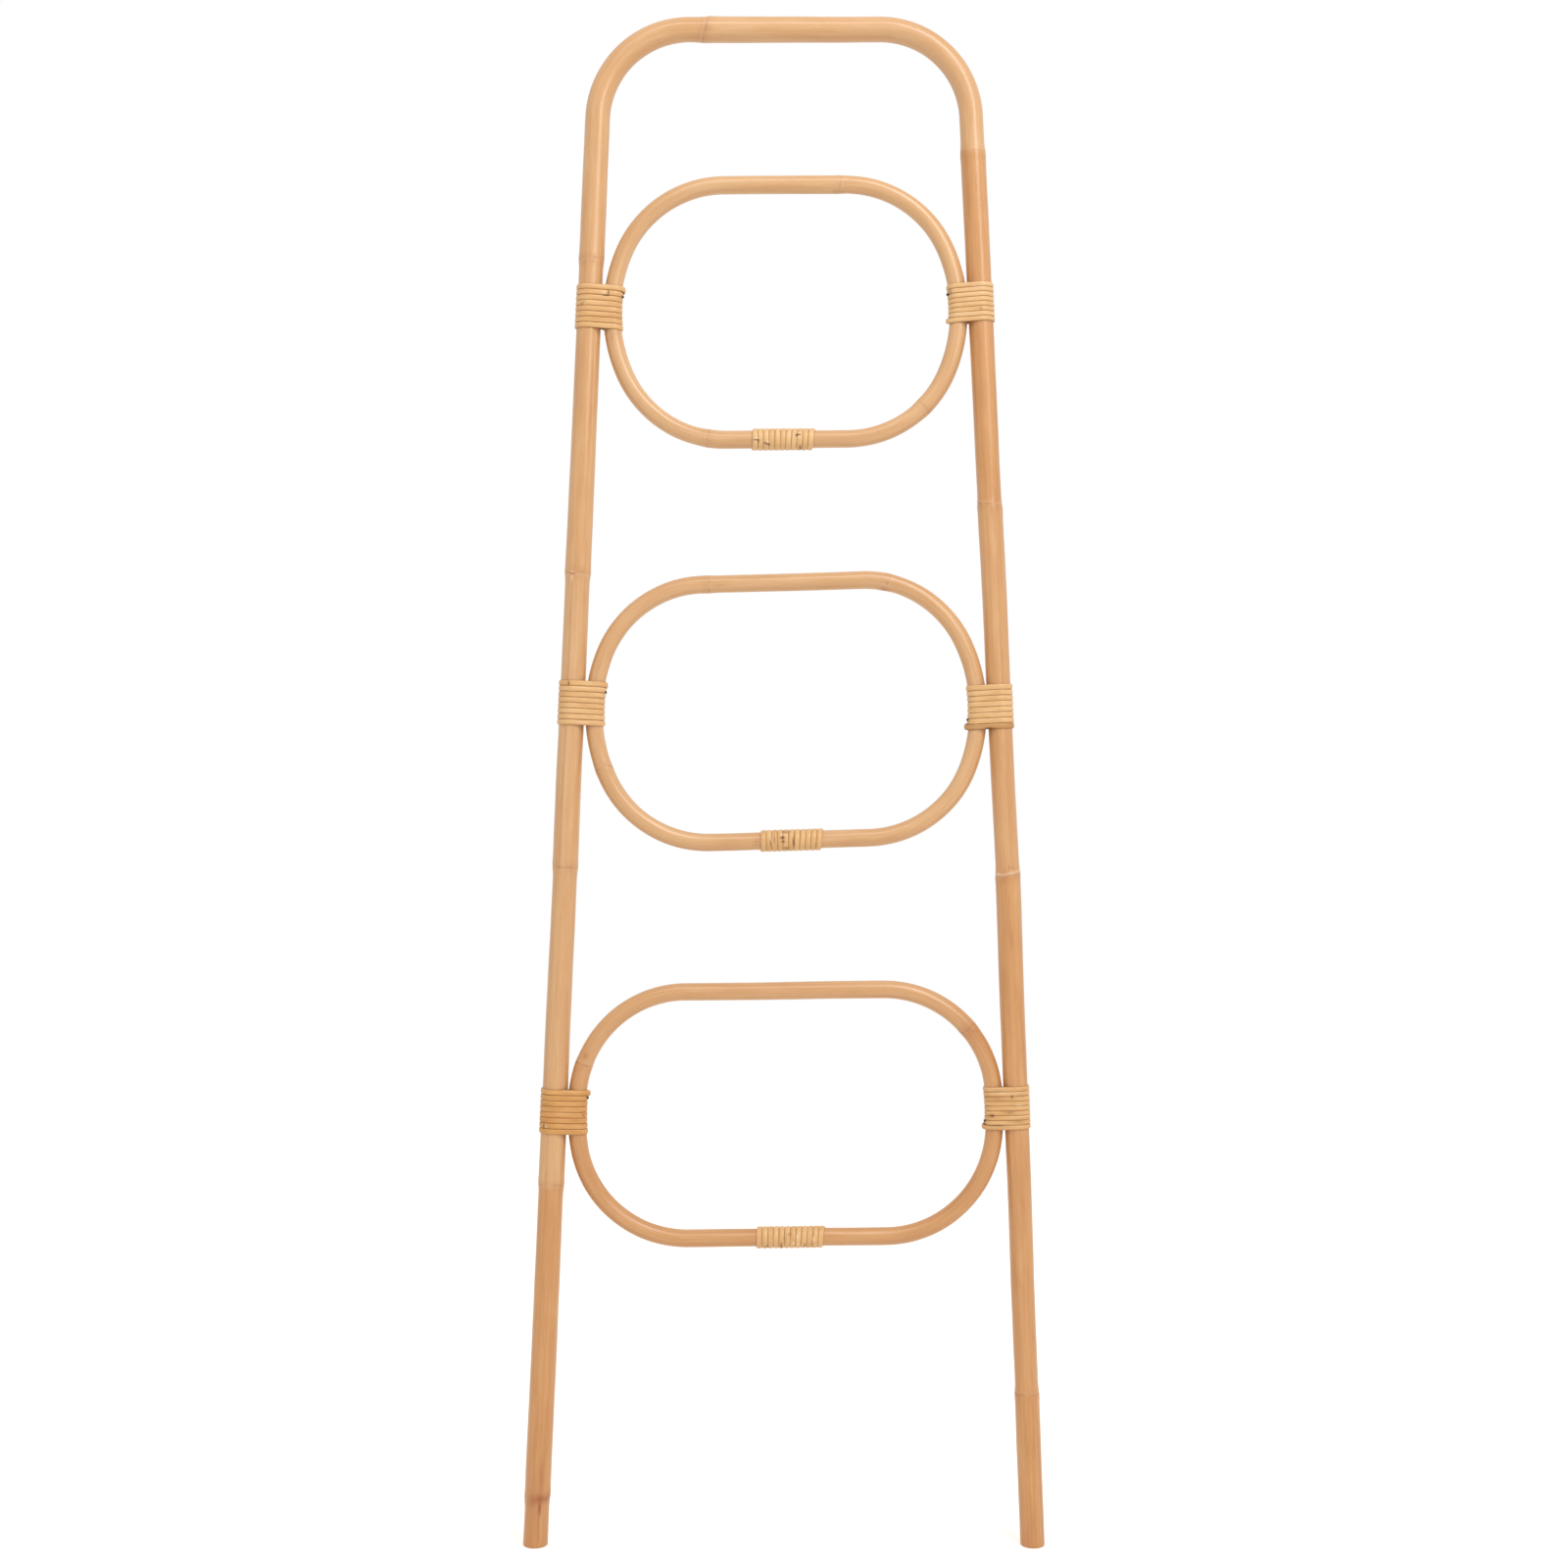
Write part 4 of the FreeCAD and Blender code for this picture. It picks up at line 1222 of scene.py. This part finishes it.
def weathered(finish, tone, stops, plain_shades, warm_shades):
    """Colour of a tone: plain or warm by the skin's warmth, with a painted highlight on its ridges."""
    plain = finish.ramp(tone, list(zip(stops, plain_shades)))
    warm = finish.ramp(tone, list(zip(stops, warm_shades)))
    colour = finish.mix(finish.attribute("warmth"), plain, warm)
    return finish.mix(finish.attribute("pale") * highlight_strength, colour, ridge_highlight)


def rattan(name, plain_shades, warm_shades):
    finish = Finish(bpy.data.materials.new(name))
    place = finish.attribute("unbent", "Vector")
    streak = finish.streaks(place, streak_across, streak_along, detail=2)
    fibre = finish.streaks(place, fibre_across, fibre_along, detail=2)
    cloud = finish.streaks(place, cloud_across, cloud_along, detail=2)
    fleck = finish.range(finish.streaks(place, fleck_across, fleck_along, detail=1), *fleck_limits)
    tone = streak_share * streak + fibre_share * fibre + cloud_share * cloud
    colour = weathered(finish, tone, tone_stops, plain_shades, warm_shades)
    brown = finish.attribute("brown")
    colour = finish.mix((brown * brown_strength).above(fleck * fleck_strength), colour, node_brown)
    height = fibre_height * fibre + streak_height * streak
    rough = rattan_roughness + fibre_rough * fibre + brown_rough * brown
    return finish.close(colour, rough, height, rattan_bump, rattan_gloss)


pole_plain = [shade(206, 156, 103), shade(219, 175, 125), shade(230, 193, 149)]
pole_warm = [shade(187, 122, 62), shade(203, 143, 82), shade(216, 162, 104)]
hoop_plain = [shade(203, 153, 100), shade(216, 171, 121), shade(228, 190, 144)]
hoop_warm = [shade(187, 122, 64), shade(202, 142, 83), shade(216, 161, 104)]
pole_rattan = rattan("satin_rattan_pole", pole_plain, pole_warm)
hoop_rattan = rattan("satin_rattan_hoop", hoop_plain, hoop_warm)
bent_pole.data.materials.append(pole_rattan)
for piece in hoop_canes.values():
    piece.data.materials.append(hoop_rattan)
print("rattan for", 1 + len(hoop_canes), "canes")

# %% [markdown]
# ## Cane peel
# Peel is the hard outer skin of the plant, with fine streaks and larger patches. Its edges are cut and
# browner, and the same brown is painted shade in the creases between turns, most of all on the side windings.
# The place across the strip is the first number of the straight place. In this scene it has a little less
# gloss than the canes.

# %% Peel finish
peel_streak_across, peel_streak_along = 0.0011, 0.050
peel_patch_across, peel_patch_along = 0.005, 0.024
peel_streak_share, patch_share = 0.45, 0.55
patch_rough, peel_brown_rough = 0.12, 0.3
peel_fleck_limits = (0.70, 0.78)
peel_brown_strength = 0.95
peel_bump = 0.00006
peel_roughness = 0.31
peel_gloss = {"Specular IOR Level": 0.5}
peel_stops = (0.28, 0.50, 0.72)
peel_plain = [shade(217, 169, 112), shade(230, 189, 136), shade(240, 207, 162)]
peel_warm = [shade(192, 129, 62), shade(212, 155, 88), shade(227, 180, 116)]
edge_brown_and_crease_shade = shade(134, 76, 34)
scar_brown = shade(96, 46, 15)
edge_and_crease_shade_share = 0.39
side_edge_and_crease_shade, splice_edge_and_crease_shade = 0.78, 0.42


def cane_peel(name, edge_and_crease_shade_strength):
    finish = Finish(bpy.data.materials.new(name))
    place = finish.attribute("unbent", "Vector")
    streak = finish.streaks(place, peel_streak_across, peel_streak_along, detail=3)
    patch = finish.streaks(place, peel_patch_across, peel_patch_along, detail=2)
    fleck = finish.range(finish.streaks(place, fleck_across, fleck_along, detail=1), *peel_fleck_limits)
    tone = peel_streak_share * streak + patch_share * patch
    colour = weathered(finish, tone, peel_stops, peel_plain, peel_warm)
    across = finish.add("ShaderNodeSeparateXYZ", {}, {"Vector": place}, "X").size()
    # Brown towards the edges of a strip: the cut edges' own colour and painted shade in the creases between
    # turns.
    edge = finish.range(across, edge_and_crease_shade_share * peel_pitch, peel_pitch / 2)
    colour = finish.mix(edge * edge_and_crease_shade_strength, colour, edge_brown_and_crease_shade)
    brown = finish.attribute("brown")
    colour = finish.mix((brown * peel_brown_strength).above(fleck * fleck_strength), colour, scar_brown)
    rough = peel_roughness + patch_rough * patch + peel_brown_rough * brown
    return finish.close(colour, rough, streak, peel_bump, peel_gloss)


side_peel = cane_peel("glossy_peel_sides", side_edge_and_crease_shade)
splice_peel = cane_peel("glossy_peel_splices", splice_edge_and_crease_shade)
for strips, peel in ((side_windings, side_peel), (splices, splice_peel)):
    for strip in strips:
        strip.data.materials.append(peel)
print("peel for", len(side_windings), "side windings and", len(splices), "splices")

# %% [markdown]
# ## Steel
# Tacks, screws and nails are dark steel, slightly blotched with age. The screws and nails are the model's
# own pieces, hidden in the canes, so they only get the finish. Object coordinates are enough here.

# %% Steel finish
blotch_size = 0.0012
blotch_stops = [(0.35, shade(38, 34, 32)), (0.65, shade(86, 78, 70))]
blotch_rough = 0.25
steel_roughness = 0.35
steel_bump = 0.00005
steel_shine = {"Metallic": 0.9}


def dark_steel(name):
    finish = Finish(bpy.data.materials.new(name))
    place = finish.add("ShaderNodeTexCoord", {}, {}, "Object")
    blotch = finish.streaks(place, blotch_size, blotch_size, detail=3)
    colour = finish.ramp(blotch, blotch_stops)
    return finish.close(colour, steel_roughness + blotch_rough * blotch, blotch, steel_bump, steel_shine)


steel = dark_steel("blued_steel")
for piece in tack_pieces:
    piece.data.materials.append(steel)
for hoop in hoops:
    for node_name in (f"{hoop.name}_hoop_screws", f"{hoop.name}_splice_nails"):
        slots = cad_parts[node_name].data.materials
        slots.clear()
        slots.append(steel)
print("steel for", len(tack_pieces), "sets of tacks, and the model's screws and nails")

# %% [markdown]
# ## Floor, light and background
# The ladder stands on white. The floor is a large pale sheet that also glows for the camera and in
# reflections, so that it looks white and still takes the contact shadows. The world is white for the camera
# and for reflections, and an even, weaker fill for everything else. A tall soft lamp in front, above and to
# the right makes the upper sides brighter than the undersides and the top brighter than the feet. A wide
# strip lamp above it draws the pale line along the bars.

# %% Floor
white = (1, 1, 1, 1)
floor_size = 6.0
floor_shade = shade(246, 244, 241)
floor_glow = 0.4


def in_picture(finish):
    """1 for what the picture shows, directly, by reflection or through glass, otherwise 0."""
    seen = finish.add("ShaderNodeLightPath", {}, {}, "Is Camera Ray")
    for ray in ("Is Glossy Ray", "Is Transmission Ray"):
        seen = seen.above(finish.add("ShaderNodeLightPath", {}, {}, ray))
    return seen


bm = bmesh.new()
bmesh.ops.create_grid(bm, x_segments=1, y_segments=1, size=floor_size / 2)
floor_mesh = bpy.data.meshes.new("floor")
bm.to_mesh(floor_mesh)
bm.free()
floor = bpy.data.objects.new("floor", floor_mesh)
bpy.context.scene.collection.objects.link(floor)

paper = Finish(bpy.data.materials.new("paper_floor"))
sheet = paper.add("ShaderNodeBsdfDiffuse", {}, {"Color": floor_shade})
glow = paper.add("ShaderNodeEmission", {}, {"Color": white, "Strength": in_picture(paper) * floor_glow})
both = paper.add("ShaderNodeAddShader", {}, {0: sheet, 1: glow})
paper.add("ShaderNodeOutputMaterial", {}, {"Surface": both})
floor_mesh.materials.append(paper.owner)
print("floor", floor_size, "m wide")

# %% World
fill_strength = 0.72
fill_colour = (1.0, 0.95, 0.89, 1)

world = Finish(bpy.data.worlds.new("studio"))
seen = in_picture(world)
strength = fill_strength + (1 - fill_strength) * seen
sky_colour = world.mix(seen, fill_colour, white)
sky = world.add("ShaderNodeBackground", {}, {"Color": sky_colour, "Strength": strength})
world.add("ShaderNodeOutputWorld", {}, {"Surface": sky})
bpy.context.scene.world = world.owner
print("the world fills the shadows with a strength of", fill_strength)

# %% Lamps
key_power = 33.0
key_size = (0.8, 2.6)
key_place = Vector((1.35, -2.2, 2.9))
strip_power = 26.0
strip_size = (3.4, 0.4)
strip_place = Vector((0.4, -2.2, 3.9))
lamp_aim = Vector((0, 0, 0.9))


def soft_lamp(name, power, size, place):
    """Rectangular lamp that points at the middle of the ladder."""
    lamp_data = bpy.data.lights.new(name, "AREA")
    lamp_data.energy = power
    lamp_data.shape = "RECTANGLE"
    lamp_data.size, lamp_data.size_y = size
    lamp = bpy.data.objects.new(name, lamp_data)
    lamp.location = place
    lamp.rotation_euler = (place - lamp_aim).to_track_quat("Z", "Y").to_euler()
    bpy.context.scene.collection.objects.link(lamp)


soft_lamp("key", key_power, key_size, key_place)
soft_lamp("strip", strip_power, strip_size, strip_place)
bpy.context.scene.view_settings.view_transform = "Standard"
print("lamps of", key_power, "and", strip_power, "watts")
